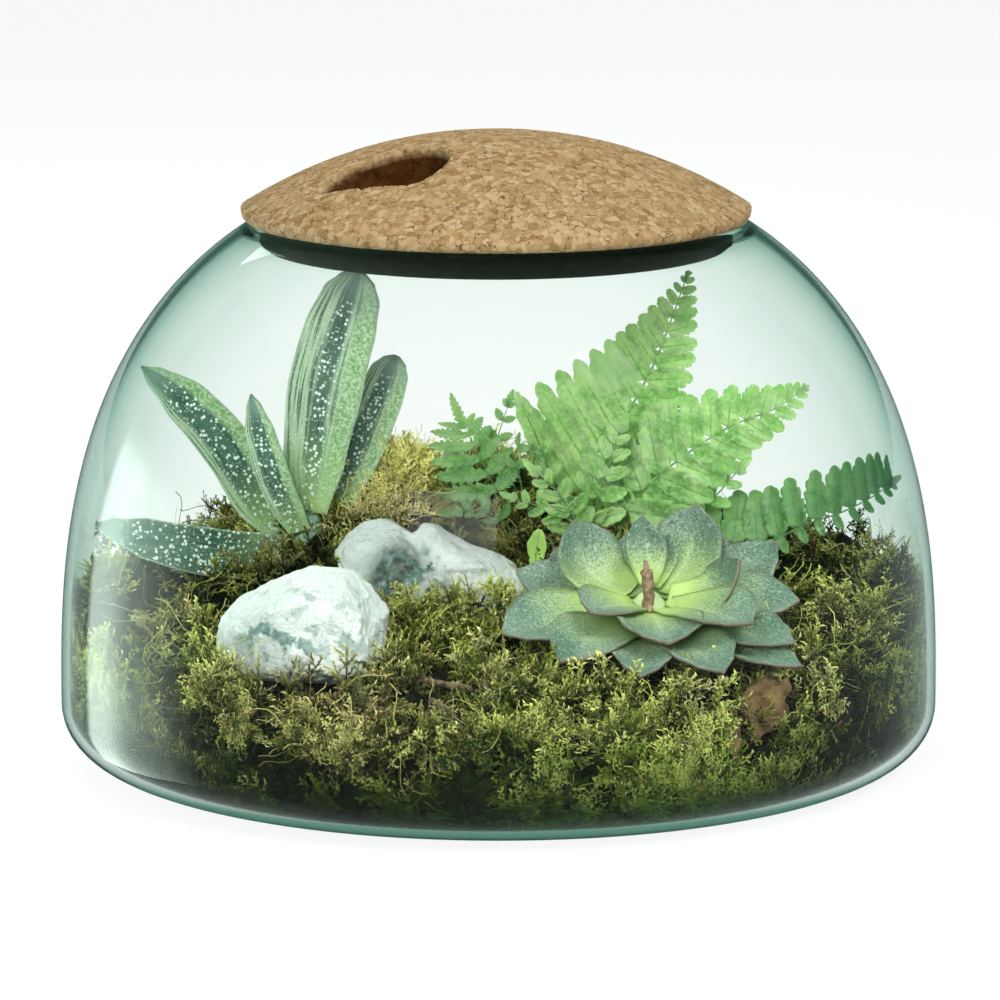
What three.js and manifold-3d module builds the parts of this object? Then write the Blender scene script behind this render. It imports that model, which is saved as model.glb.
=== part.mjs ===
// Planted glass terrarium: a round glass bowl with a domed cork lid, filled with moss, rocks and small plants.
// Millimetres, +Z up. The origin is the centre of the base, on the surface that the bowl stands on.
// The front of the bowl faces -Y.
import * as THREE from "three";
import { mergeVertices } from "three/addons/utils/BufferGeometryUtils.js";
import { ParametricGeometry } from "three/addons/geometries/ParametricGeometry.js";
import Module from "manifold-3d";

const wasm = await Module();
wasm.setup();

// Clearance between two pieces that touch.
const GAP = 0.3;

// Bowl
const BOWL_RADIUS = 150;
const BASE_RADIUS = 125;
const WIDEST_HEIGHT = 20;
const SHOULDER_RISE = 184.2;
const SHOULDER_POWER = 2.58;
const SHOULDER_ROOT = 2.32;
const CORNER_POWER = 2.15;
const WALL = 2.6;
const FLOOR = 2.4;
const PUNT = 0.8;
const COLLAR_OUTER = 85;
const COLLAR_INNER = 80.5;
const COLLAR_TOP = 184.8;
const BOWL_SIDES = 36;

// Lid
const PLUG_RADIUS = 79.4;
const PLUG_DEPTH = 10;
const FLANGE_BOTTOM = COLLAR_TOP + GAP;
const LID_RADIUS = 86.5;
const LID_CENTRE_X = -0.8;
const DOME_BASE = 189;
const DOME_RISE = 25;
const LID_SIDES = 40;
const SCOOP_DEPTH = 14;
const SCOOP_CENTRE = new THREE.Vector2(-27, -29);
const SCOOP_OUTLINE = [
  [-61, -36], [-54, -26], [-41, -19], [-29, -17], [-19, -22],
  [-16, -33], [-20, -44], [-28, -51], [-40, -47], [-51, -42],
];

// Planting
const MOSS_LEVEL = 50;
const MOSS_TILT = 0.09;
const MOSS_THICKNESS = 15;
const MOSS_WALL_GAP = 1;
const SOIL_RADIUS = 118;
const ROOT_DEPTH = 9;
const BLADE = 0.7;
const SHORT_EDGE = 0.02;

const paint = (color, roughness) =>
  new THREE.MeshStandardMaterial({ color, roughness, metalness: 0, flatShading: true });
const FINISH = {
  glass: new THREE.MeshStandardMaterial({
    color: "#bfe6da",
    roughness: 0.04,
    metalness: 0,
    transparent: true,
    opacity: 0.3,
  }),
  cork: paint("#c69a6a", 0.85),
  soil: paint("#3a2b1f", 0.95),
  moss: paint("#7c9a3b", 0.9),
  rock: paint("#dfe6df", 0.8),
  gasteria: paint("#2f5a3a", 0.45),
  rosette: paint("#7f9f8c", 0.55),
  stalk: paint("#a9776a", 0.7),
  fern: paint("#5fa63c", 0.5),
  lime: paint("#a5cf3f", 0.5),
  litter: paint("#7d6038", 0.85),
  twig: paint("#6b5234", 0.85),
};

// Geometry helpers

// A geometry as a solid, its shared points merged and its collapsed triangles left out.
function solidOf(geometry) {
  const bare = new THREE.BufferGeometry();
  const source = geometry.index ? geometry.toNonIndexed() : geometry;
  bare.setAttribute("position", source.getAttribute("position"));
  const merged = mergeVertices(bare, 1e-3);
  const raw = merged.index.array;
  const triangles = [];
  for (let i = 0; i < raw.length; i += 3) {
    const [a, b, c] = [raw[i], raw[i + 1], raw[i + 2]];
    if (a !== b && b !== c && c !== a) triangles.push(a, b, c);
  }
  return new wasm.Manifold(
    new wasm.Mesh({
      numProp: 3,
      vertProperties: merged.getAttribute("position").array,
      triVerts: new Uint32Array(triangles),
    }),
  );
}

// A solid as a geometry, its shortest edges from the cuts drawn together.
function geometryOf(solid) {
  const { vertProperties, triVerts } = solid.setTolerance(SHORT_EDGE).simplify(SHORT_EDGE).getMesh();
  const geometry = new THREE.BufferGeometry();
  geometry.setAttribute("position", new THREE.BufferAttribute(vertProperties, 3));
  geometry.setIndex(new THREE.BufferAttribute(triVerts, 1));
  geometry.computeVertexNormals();
  return geometry;
}

// One closed body between two faces with the same triangles, and a rim round them.
function slabOf(tops, bottoms, faces) {
  const count = tops.length;
  const index = [];
  const edges = new Map();
  for (const [a, b, c] of faces) {
    index.push(a, b, c, count + a, count + c, count + b);
    for (const [p, q] of [[a, b], [b, c], [c, a]]) edges.set(`${p},${q}`, [p, q]);
  }
  for (const [p, q] of edges.values()) {
    if (edges.has(`${q},${p}`)) continue;
    index.push(q, p, count + p, q, count + p, count + q);
  }
  const geometry = new THREE.BufferGeometry().setFromPoints([...tops, ...bottoms]);
  geometry.setIndex(index);
  return geometry;
}

// A lathe round the Z axis. The profile's points are radius and height.
function latheZ(profile, sides) {
  const points = profile.map(([r, z]) => new THREE.Vector2(r, z));
  return new THREE.LatheGeometry(points, sides).rotateX(Math.PI / 2);
}

// A round rod of even thickness along a path.
function rodAlong(points, radius, sides, steps) {
  const outline = new THREE.Shape();
  outline.absarc(0, 0, radius, 0, 2 * Math.PI);
  return new THREE.ExtrudeGeometry(outline, {
    steps,
    curveSegments: sides / 2,
    extrudePath: new THREE.CatmullRomCurve3(points),
  });
}

const at = (points) => points.map(([x, y, z]) => new THREE.Vector3(x, y, z));

// A smooth curve of value against station, through a few knots.
function profileThrough(knots) {
  return (s) => {
    let k = 0;
    while (k < knots.length - 2 && s > knots[k + 1][0]) k += 1;
    const [s0, v0] = knots[k];
    const [s1, v1] = knots[k + 1];
    const eased = (THREE.MathUtils.smoothstep(s, s0, s1) + (s - s0) / (s1 - s0)) / 2;
    return THREE.MathUtils.lerp(v0, v1, eased);
  };
}

// The frame at a station of a spine: its point, its direction, its side and the way its upper face looks.
function frameAt(curve, sides, s) {
  const point = curve.getPointAt(s);
  const along = curve.getTangentAt(s);
  const side = new THREE.Vector3().lerpVectors(sides[0], sides[1], s);
  side.addScaledVector(along, -side.dot(along)).normalize();
  const up = new THREE.Vector3().crossVectors(side, along);
  return { point, along, side, up };
}

// Bowl

// Radius of the bowl at a height, drawn in by an inset from the outer skin.
function bowlRadius(z, inset) {
  const share = Math.max(0, (z - WIDEST_HEIGHT) / (SHOULDER_RISE - inset));
  return (BOWL_RADIUS - inset) * (1 - share ** SHOULDER_POWER) ** (1 / SHOULDER_ROOT);
}

// The rounded corner between the base and the wall, from the base up.
function bowlCorner(inset, floor, steps) {
  const base = BASE_RADIUS - inset / 2;
  const power = 2 / CORNER_POWER;
  return Array.from({ length: steps + 1 }, (_, i) => {
    const turn = ((i / steps) * Math.PI) / 2;
    const r = base + (BOWL_RADIUS - inset - base) * Math.sin(turn) ** power;
    const z = floor + (WIDEST_HEIGHT - floor) * (1 - Math.max(0, Math.cos(turn)) ** power);
    return [r, z];
  });
}

// The wall from above the widest ring up to the height where its radius has come in to stop.
function bowlWall(inset, stop, steps) {
  const stopShare = (1 - (stop / (BOWL_RADIUS - inset)) ** SHOULDER_ROOT) ** (1 / SHOULDER_POWER);
  const last = Math.asin(stopShare);
  return Array.from({ length: steps }, (_, i) => {
    const z = WIDEST_HEIGHT + (SHOULDER_RISE - inset) * Math.sin((last * (i + 1)) / steps);
    return [i === steps - 1 ? stop : bowlRadius(z, inset), z];
  });
}

function glassBowl() {
  const outside = [...bowlCorner(0, 0, 4), ...bowlWall(0, COLLAR_OUTER, 8)];
  const inside = [...bowlCorner(WALL, FLOOR, 3), ...bowlWall(WALL, COLLAR_INNER, 7)];
  const rim = [
    [COLLAR_OUTER, COLLAR_TOP - 1.2],
    [COLLAR_OUTER - 1.2, COLLAR_TOP],
    [COLLAR_INNER + 1.2, COLLAR_TOP],
    [COLLAR_INNER, COLLAR_TOP - 1.2],
  ];
  const profile = [
    [0, PUNT],
    [96, 0],
    ...outside,
    ...rim,
    ...inside.reverse(),
    [0, FLOOR],
  ];
  return solidOf(latheZ(profile, BOWL_SIDES));
}

// Lid

const domeHeight = (x, y) => {
  const out = Math.min(1, Math.hypot(x - LID_CENTRE_X, y) / LID_RADIUS);
  return DOME_BASE + DOME_RISE * (1 - out ** 2.12);
};

// The thumb scoop: steep under its back and right edge, running out in a ramp towards its point on the left.
function scoopCutter() {
  const edge = new THREE.CatmullRomCurve3(at(SCOOP_OUTLINE.map(([x, y]) => [x, y, 0])), true);
  const centre = new THREE.Vector3(SCOOP_CENTRE.x, SCOOP_CENTRE.y, 0);
  const clearance = 6;
  const surface = (u, v, target) => {
    const rim = edge.getPoint(u);
    const turn = v * Math.PI;
    const out = Math.sin(turn);
    target.lerpVectors(centre, rim, out);
    const steep = THREE.MathUtils.smoothstep(rim.x * 0.6 + rim.y * 0.9, -62, -40);
    const hollow = 1 - out ** THREE.MathUtils.lerp(1.6, 9, steep);
    const lift = Math.cos(turn) > 0 ? clearance * Math.cos(turn) : -SCOOP_DEPTH * hollow;
    target.z = domeHeight(target.x, target.y) + 0.2 + lift;
  };
  return solidOf(new ParametricGeometry(surface, 22, 10));
}

function corkLid() {
  const plugBottom = FLANGE_BOTTOM - PLUG_DEPTH;
  const domeSteps = 7;
  const dome = Array.from({ length: domeSteps }, (_, i) => {
    const r = (LID_RADIUS - 0.9) * Math.cos(((i / domeSteps) * Math.PI) / 2);
    return [r, domeHeight(r + LID_CENTRE_X, 0)];
  });
  const profile = [
    [0, plugBottom],
    [PLUG_RADIUS - 1.4, plugBottom],
    [PLUG_RADIUS, plugBottom + 1.2],
    [PLUG_RADIUS, FLANGE_BOTTOM],
    [LID_RADIUS - 1.4, FLANGE_BOTTOM],
    [LID_RADIUS - 0.2, FLANGE_BOTTOM + 1.4],
    [LID_RADIUS, FLANGE_BOTTOM + 3.6],
    ...dome,
    [0, DOME_BASE + DOME_RISE],
  ];
  const body = latheZ(profile, LID_SIDES).translate(LID_CENTRE_X, 0, 0);
  return solidOf(body).subtract(scoopCutter());
}

// Moss and soil

// Rises and hollows of the moss: place, height and spread.
const MOUNDS = [
  { x: -60, y: 30, rise: 15, spread: 32 },
  { x: -40, y: 61, rise: 31, spread: 20.5 },
  { x: 22, y: 32, rise: 20, spread: 28 },
  { x: 50, y: -48, rise: 5, spread: 34 },
  { x: 84, y: -112, rise: -12, spread: 15 },
  { x: 22, y: -122, rise: -7, spread: 20 },
  { x: 118, y: 30, rise: 5, spread: 26 },
  { x: 6, y: 64, rise: 21, spread: 15 },
];

function mossLevel(x, y) {
  const bank = 12 * (x / BOWL_RADIUS) ** 2 * THREE.MathUtils.smoothstep(y, -90, 0);
  const mounds = MOUNDS.reduce((sum, m) => {
    const far = ((x - m.x) ** 2 + (y - m.y) ** 2) / (2 * m.spread ** 2);
    return sum + m.rise * Math.exp(-far);
  }, 0);
  return MOSS_LEVEL + MOSS_TILT * y + bank + mounds;
}

// Tufts on the moss: a sum of waves that never repeats inside the bowl.
function mossTufts(x, y) {
  const coarse = Math.sin(x / 7.3 + 1.7 * Math.sin(y / 11)) * Math.cos(y / 8.1 + 0.6);
  const fine = Math.sin((x + 2 * y) / 5.2) * Math.sin((y - 1.4 * x) / 6.1 + 1.1);
  return 1.3 * coarse + 0.8 * fine;
}

const mossHeight = (x, y) => mossLevel(x, y) + mossTufts(x, y);

// The moss as if it filled the bowl down to the floor.
function mossBlock() {
  const corner = bowlCorner(WALL + MOSS_WALL_GAP, FLOOR + GAP, 3);
  const rings = 12;
  const floorRings = 1;
  const total = rings + corner.length + floorRings;
  const surface = (u, v, target) => {
    const turn = -2 * Math.PI * u;
    const step = Math.round(v * total);
    const wallTop = bowlRadius(MOSS_LEVEL, WALL + MOSS_WALL_GAP);
    if (step <= rings) {
      const r = (step / rings) ** 0.8 * wallTop;
      const x = r * Math.cos(turn);
      const y = r * Math.sin(turn);
      target.set(x, y, mossHeight(x, y));
      if (step === rings) {
        const pulled = bowlRadius(target.z, WALL + MOSS_WALL_GAP);
        target.set(pulled * Math.cos(turn), pulled * Math.sin(turn), target.z);
      }
      return;
    }
    const place = corner.length - (step - rings);
    const [r, z] = place >= 0 ? corner[place] : [0, FLOOR + GAP];
    target.set(r * Math.cos(turn), r * Math.sin(turn), z);
  };
  return solidOf(new ParametricGeometry(surface, 40, total));
}

// The soil mound, or with grow above 0 the room that it takes in the moss.
function soilBlock(grow) {
  const rings = 4;
  const bottom = FLOOR + GAP - (grow > 0 ? 4 : 0);
  const surface = (u, v, target) => {
    const turn = -2 * Math.PI * u;
    const step = Math.round(v * (rings + 2));
    const out = Math.min(step / rings, 1);
    const last = step > rings + 1;
    const r = last ? 0 : out * (SOIL_RADIUS + grow);
    const x = r * Math.cos(turn);
    const y = r * Math.sin(turn);
    const fall = THREE.MathUtils.smoothstep(out, 0.55, 1.02);
    const crest = mossLevel(x, y) - MOSS_THICKNESS + grow;
    target.set(x, y, step > rings ? bottom : THREE.MathUtils.lerp(crest, FLOOR + 6 + grow, fall));
  };
  return solidOf(new ParametricGeometry(surface, 24, rings + 2));
}

// A plain round hole for a stem that goes down into the moss and the soil.
function stemHole(x, y, radius, top, bottom, sides = 10) {
  const hole = new THREE.CylinderGeometry(radius, radius, top - bottom, sides).rotateX(Math.PI / 2);
  return solidOf(hole.translate(x, y, (top + bottom) / 2));
}

// Rocks

// A boulder: a ball made blocky, pulled to its half sizes, worn lumpy and cut to a few flat faces.
function boulder({ centre, half, turn, tilt, blocky, lumps, cuts, detail }, grow = 0) {
  const geometry = new THREE.IcosahedronGeometry(1, detail);
  const position = geometry.getAttribute("position");
  const point = new THREE.Vector3();
  const heading = new THREE.Vector3();
  for (let i = 0; i < position.count; i++) {
    point.fromBufferAttribute(position, i).normalize();
    const sum = [point.x, point.y, point.z].reduce((t, v) => t + Math.abs(v) ** blocky, 0);
    let reach = sum ** (-1 / blocky);
    for (const [kx, ky, kz, size, phase] of lumps) {
      reach += size * Math.sin(kx * point.x + ky * point.y + kz * point.z + phase);
    }
    for (const [nx, ny, nz, limit] of cuts) {
      const facing = heading.set(nx, ny, nz).normalize().dot(point);
      if (facing > 0.05) reach = Math.min(reach, limit / facing);
    }
    point.multiplyScalar(reach);
    point.set(point.x * (half[0] + grow), point.y * (half[1] + grow), point.z * (half[2] + grow));
    position.setXYZ(i, point.x, point.y, point.z);
  }
  return solidOf(geometry.rotateY(tilt).rotateZ(turn).translate(...centre));
}

const ROCKS = {
  rock_front: {
    centre: [-65.4, -76, 59.5],
    half: [29.6, 24, 18],
    turn: -0.1,
    tilt: -0.08,
    blocky: 2.8,
    detail: 4,
    lumps: [
      [2.1, 0.6, 1.3, 0.05, 0.4],
      [3.7, 2.9, 1.1, 0.035, 2.2],
      [5.3, 1.7, 6.1, 0.018, 1.1],
    ],
    cuts: [
      [-0.1, -0.35, 1, 0.93],
      [0.1, -1, 0.15, 0.95],
      [-1, -0.3, 0.5, 0.98],
      [1, -0.25, 0.3, 0.98],
    ],
  },
  rock_back: {
    centre: [-22.8, -5, 62.6],
    half: [35, 19, 15.5],
    turn: -0.12,
    tilt: 0.3,
    blocky: 2.3,
    detail: 4,
    lumps: [
      [7.2, 0.8, 0.4, 0.07, 2.1],
      [3.1, 2.2, 2.6, 0.04, 0.8],
      [6.1, 4.3, 3.3, 0.02, 0.2],
    ],
    cuts: [
      [0.25, -1, 0.35, 0.88],
      [-0.5, -1, 0.55, 0.92],
      [0.9, -0.3, 0.75, 0.9],
    ],
  },
};

// Thick leaves

// A thick leaf: a channel along its upper face and a keel along its lower one.
function leafSolid({ spine, sides, width, shape, channel, keel, rim, columns, rows }, grow = 0) {
  const curve = new THREE.CatmullRomCurve3(at(spine));
  const across = at(sides);
  const tops = [];
  const bottoms = [];
  const faces = [];
  const spread = profileThrough(shape);
  for (let row = 0; row <= rows; row++) {
    const s = row / rows;
    const { point, side, up } = frameAt(curve, across, s);
    const full = spread(s);
    for (let column = 0; column <= columns; column++) {
      const x = (2 * column) / columns - 1;
      const inner = 1 - Math.abs(x) ** 1.6;
      const centre = point.clone().addScaledVector(side, (x * (width * full)) / 2 + x * grow);
      const high = rim / 2 - channel * full * inner + grow;
      const low = -rim / 2 - keel * full * inner - grow;
      tops.push(centre.clone().addScaledVector(up, high));
      bottoms.push(centre.clone().addScaledVector(up, low));
      if (row < rows && column < columns) {
        const a = row * (columns + 1) + column;
        const b = a + columns + 1;
        if (x < 0) faces.push([a, a + 1, b + 1], [a, b + 1, b]);
        else faces.push([a, a + 1, b], [a + 1, b + 1, b]);
      }
    }
  }
  return solidOf(slabOf(tops, bottoms, faces));
}

// Gasteria: five leaves round a short crown.
const CROWN = { x: -66, y: 30, radius: 6, top: 77, bottom: 52 };

const STRAP = [[0, 0.5], [0.2, 0.82], [0.5, 1], [0.75, 0.95], [0.9, 0.78], [0.97, 0.48], [1, 0.2]];
const SWORD = [[0, 0.66], [0.2, 0.95], [0.5, 1], [0.75, 0.88], [0.92, 0.46], [1, 0.08]];

const GASTERIA_LEAVES = {
  gasteria_leaf_tall: {
    spine: [[-66, 29, 77.8], [-64, 28, 96], [-58.5, 26, 128], [-47.5, 21, 163.5]],
    sides: [[1, -0.1, 0.1], [1, -0.25, 0.1]],
    width: 26.5,
    shape: STRAP,
    channel: 2.2,
    keel: 5,
  },
  gasteria_leaf_spear: {
    spine: [[-68.5, 22.4, 72], [-75, 17, 86], [-81, 14, 105], [-85, 13, 122]],
    sides: [[1, -0.2, 0.1], [1, -0.3, 0.3]],
    width: 12,
    shape: SWORD,
    channel: 0.8,
    keel: 3.6,
  },
  gasteria_leaf_left: {
    spine: [[-74.6, 27.5, 72], [-83.5, 22, 84], [-94, 15, 104], [-108, 9, 121], [-122, 5, 133]],
    sides: [[0.6, 0.25, 0.75], [0.75, 0.2, 0.6]],
    width: 18,
    shape: SWORD,
    channel: 1.6,
    keel: 5,
  },
  gasteria_leaf_back: {
    spine: [[-61, 37, 73], [-53, 43, 88], [-44.5, 48, 108], [-35.5, 50, 129.5]],
    sides: [[1, -0.2, -0.3], [1, -0.2, -0.3]],
    width: 18,
    shape: STRAP,
    channel: 1.5,
    keel: 4,
  },
  gasteria_leaf_lying: {
    spine: [[-74, 22.5, 66], [-86, 9, 66.5], [-109, -4, 72], [-137, -12, 81.5]],
    sides: [[0.62, 0.55, 0.5], [0.55, 0.6, 0.55]],
    width: 17,
    shape: SWORD,
    channel: 1.2,
    keel: 5,
  },
};

function gasteriaLeaf(name, grow = 0) {
  return leafSolid({ rim: 1, columns: 4, rows: 9, ...GASTERIA_LEAVES[name] }, grow);
}

function gasteriaCrown() {
  const { x, y, radius, top, bottom } = CROWN;
  const profile = [
    [0, bottom],
    [radius * 0.5, bottom],
    [radius, bottom + 6],
    [radius, top - 5],
    [radius * 0.55, top],
    [0, top],
  ];
  return solidOf(latheZ(profile, 12).translate(x, y, 0));
}

// Rosette: stem, core and leaves that spiral round it, each given by its tip. Its head leans to the front.
const ROSETTE = { x: 50, y: -54, base: 58, stemRadius: 5, stemBottom: 40 };
const ROSETTE_AXIS = [0.04, -0.42, 0.91];

// Tip place, width and how far the leaf bows up between core and tip.
const ROSETTE_LEAVES = [
  { tip: [50, -50, 88], width: 13, bow: -3 },
  { tip: [48, -40, 90], width: 12, bow: -3 },
  { tip: [57, -42, 84], width: 10, bow: -2 },
  { tip: [25, -39, 88], width: 27, bow: -7 },
  { tip: [67, -37, 93], width: 25, bow: -7 },
  { tip: [80, -61, 79], width: 27, bow: -6 },
  { tip: [30, -24, 83], width: 20, bow: -5 },
  { tip: [74, -28, 84], width: 20, bow: -5 },
  { tip: [30, -84, 66], width: 22, bow: 3 },
  { tip: [83, -88, 63], width: 26, bow: 4 },
  { tip: [55, -96, 58], width: 29, bow: 4 },
  { tip: [94, -30, 79], width: 26, bow: -3 },
  { tip: [6, -40, 71], width: 26, bow: 1 },
  { tip: [50, -5, 79], width: 26, bow: -1 },
  { tip: [100, -61, 65], width: 27, bow: 3 },
  { tip: [1, -75, 57], width: 29, bow: 4 },
  { tip: [19, -12, 73], width: 26, bow: 1 },
  { tip: [79, -8, 75], width: 26, bow: 1 },
  { tip: [97, -86, 56], width: 22, bow: 3 },
  { tip: [20, -100, 53], width: 26, bow: 5 },
  { tip: [73, -104, 50], width: 24, bow: 4 },
  { tip: [46, -106, 49], width: 22, bow: 4 },
  { tip: [99, -95, 50], width: 17, bow: 2 },
];

const SPOON = [[0, 0.44], [0.28, 0.78], [0.54, 1], [0.72, 0.93], [0.87, 0.58], [1, 0.08]];

function rosetteLeaf({ tip, width, bow }, order) {
  const { x, y, base } = ROSETTE;
  const out = new THREE.Vector3(tip[0] - x, tip[1] - y, 0);
  const flat = out.length();
  out.normalize();
  const level = base + 11 - order * 0.62;
  const start = new THREE.Vector3(x, y, level).addScaledVector(out, Math.min(6.5, flat * 0.25));
  const end = new THREE.Vector3(...tip);
  const middle = start.clone().lerp(end, 0.55);
  middle.z += bow;
  const side = end.clone().sub(start).cross(new THREE.Vector3(...ROSETTE_AXIS)).normalize();
  return leafSolid({
    spine: [start.toArray(), middle.toArray(), end.toArray()],
    sides: [side.toArray(), side.toArray()],
    width,
    shape: SPOON,
    channel: width * 0.09,
    keel: width * 0.17,
    rim: 1.2,
    columns: 2,
    rows: 4,
  });
}

const STUB = { x: 49.5, y: -63.5, radius: 2, bottom: 62, top: 79 };

function succulentRosette() {
  const { x, y, base, stemRadius, stemBottom } = ROSETTE;
  const profile = [
    [0, stemBottom],
    [stemRadius, stemBottom],
    [stemRadius, base - 1],
    [10, base + 3],
    [10, base + 6],
    [6, base + 12],
    [0, base + 14],
  ];
  const core = solidOf(latheZ(profile, 12).translate(x, y, 0));
  const head = ROSETTE_LEAVES.map(rosetteLeaf).reduce((sum, leaf) => sum.add(leaf), core);
  const socket = stemHole(STUB.x, STUB.y, STUB.radius + GAP, STUB.top + 20, STUB.bottom - GAP);
  return head.subtract(socket);
}

function flowerStalkStub() {
  const { x, y, radius, top, bottom } = STUB;
  const profile = [
    [0, bottom],
    [radius - 0.2, bottom],
    [radius - 0.3, (top + bottom) / 2],
    [radius - 0.05, top - 1.5],
    [radius * 0.5, top],
    [0, top - 0.6],
  ];
  return solidOf(latheZ(profile, 8).translate(x, y, 0));
}

// Ferns

// The edge of a leaflet from its lower to its upper foot: share of its length, share of its half width.
const LOBED_LEAFLET = [
  [0.2, -0.9], [0.42, -1], [0.6, -0.84], [0.84, -0.7], [1, 0.05],
  [0.84, 0.7], [0.6, 0.84], [0.42, 1], [0.18, 0.9],
];
const SMALL_LEAFLET = [
  [0.3, -0.9], [0.72, -0.8], [1, 0], [0.72, 0.8], [0.3, 0.9],
];

// The two sides of a frond: the sign of its side, and the place of its foot on the rib.
const HANDS = [
  { sign: -1, foot: "left" },
  { sign: 1, foot: "right" },
];

// A frond: a stalk with pairs of leaflets in one thin arched blade, cut to the rib between them.
// The leaflets get shorter, closer and steeper towards the tip.
function frondSolid({ root, path, sides, pairs, bare, reach, taper, lean, fill, droop, leaflet, rib }) {
  const level = mossLevel(...root);
  const stalk = [[...root, level - ROOT_DEPTH], [...root, level + 3], ...path];
  const curve = new THREE.CatmullRomCurve3(at(stalk));
  const bladeLength = curve.getLength() * (1 - bare);
  const across = at(sides);
  const tops = [];
  const bottoms = [];
  const faces = [];
  const place = (point, up, half) => {
    tops.push(point.clone().addScaledVector(up, half));
    bottoms.push(point.clone().addScaledVector(up, -half));
    return tops.length - 1;
  };
  const stationOf = (share) => bare + (1 - bare) * (1 - (1 - share) ** 1.25);
  const stations = [0, bare * 0.35, bare * 0.7];
  for (let i = 0; i < pairs; i++) {
    stations.push(stationOf((i + 0.22) / pairs), stationOf((i + 0.78) / pairs));
  }
  stations.push(1);
  const ribs = stations.map((s) => {
    const frame = frameAt(curve, across, s);
    const half = (rib / 2) * (1 - 0.5 * s);
    const left = place(frame.point.clone().addScaledVector(frame.side, -half), frame.up, half);
    const right = place(frame.point.clone().addScaledVector(frame.side, half), frame.up, half);
    return { ...frame, left, right };
  });
  for (let i = 1; i < ribs.length; i++) {
    const [low, high] = [ribs[i - 1], ribs[i]];
    faces.push([low.left, low.right, high.right], [low.left, high.right, high.left]);
  }
  for (let i = 0; i < pairs; i++) {
    const [low, high] = [ribs[3 + 2 * i], ribs[4 + 2 * i]];
    const share = (i + 0.5) / pairs;
    const spacing = (stationOf((i + 1) / pairs) - stationOf(i / pairs)) * (bladeLength / (1 - bare));
    HANDS.forEach(({ sign, foot }, hand) => {
      const length = reach[hand] * (1 - share) ** taper[hand] + 1.5;
      const tilt = THREE.MathUtils.lerp(lean[0], lean[1], share);
      const width = Math.min(fill * spacing * Math.cos(tilt), length * 0.8);
      const out = low.side.clone().multiplyScalar(sign * Math.cos(tilt));
      out.addScaledVector(low.along, Math.sin(tilt));
      const over = low.along.clone().multiplyScalar(Math.cos(tilt));
      over.addScaledVector(low.side, -sign * Math.sin(tilt));
      const [lower, upper] = [low[foot], high[foot]];
      const base = tops[lower].clone().add(bottoms[upper]).multiplyScalar(0.5);
      const halfFoot = tops[lower].distanceTo(tops[upper]) / 2;
      const flat = [new THREE.Vector2(0, -halfFoot)];
      const loop = [lower];
      for (const [a, b] of leaflet) {
        const point = base.clone().addScaledVector(out, a * length);
        point.addScaledVector(over, (b * width) / 2).addScaledVector(low.up, -droop * length * a * a);
        flat.push(new THREE.Vector2(a * length, (b * width) / 2));
        loop.push(place(point, low.up, BLADE / 2));
      }
      flat.push(new THREE.Vector2(0, halfFoot));
      loop.push(upper);
      for (const [a, b, c] of THREE.ShapeUtils.triangulateShape(flat, [])) {
        const turned = flat[b].clone().sub(flat[a]).cross(flat[c].clone().sub(flat[a])) * sign < 0;
        faces.push(turned ? [loop[a], loop[c], loop[b]] : [loop[a], loop[b], loop[c]]);
      }
    });
  }
  return solidOf(slabOf(tops, bottoms, faces));
}

const BIG_FERN = { leaflet: LOBED_LEAFLET, rib: 1.7, fill: 0.92, droop: 0.1 };
const SMALL_FERN = { leaflet: SMALL_LEAFLET, rib: 1.4, fill: 0.9, droop: 0.14, lean: [0.35, 0.8] };

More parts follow.
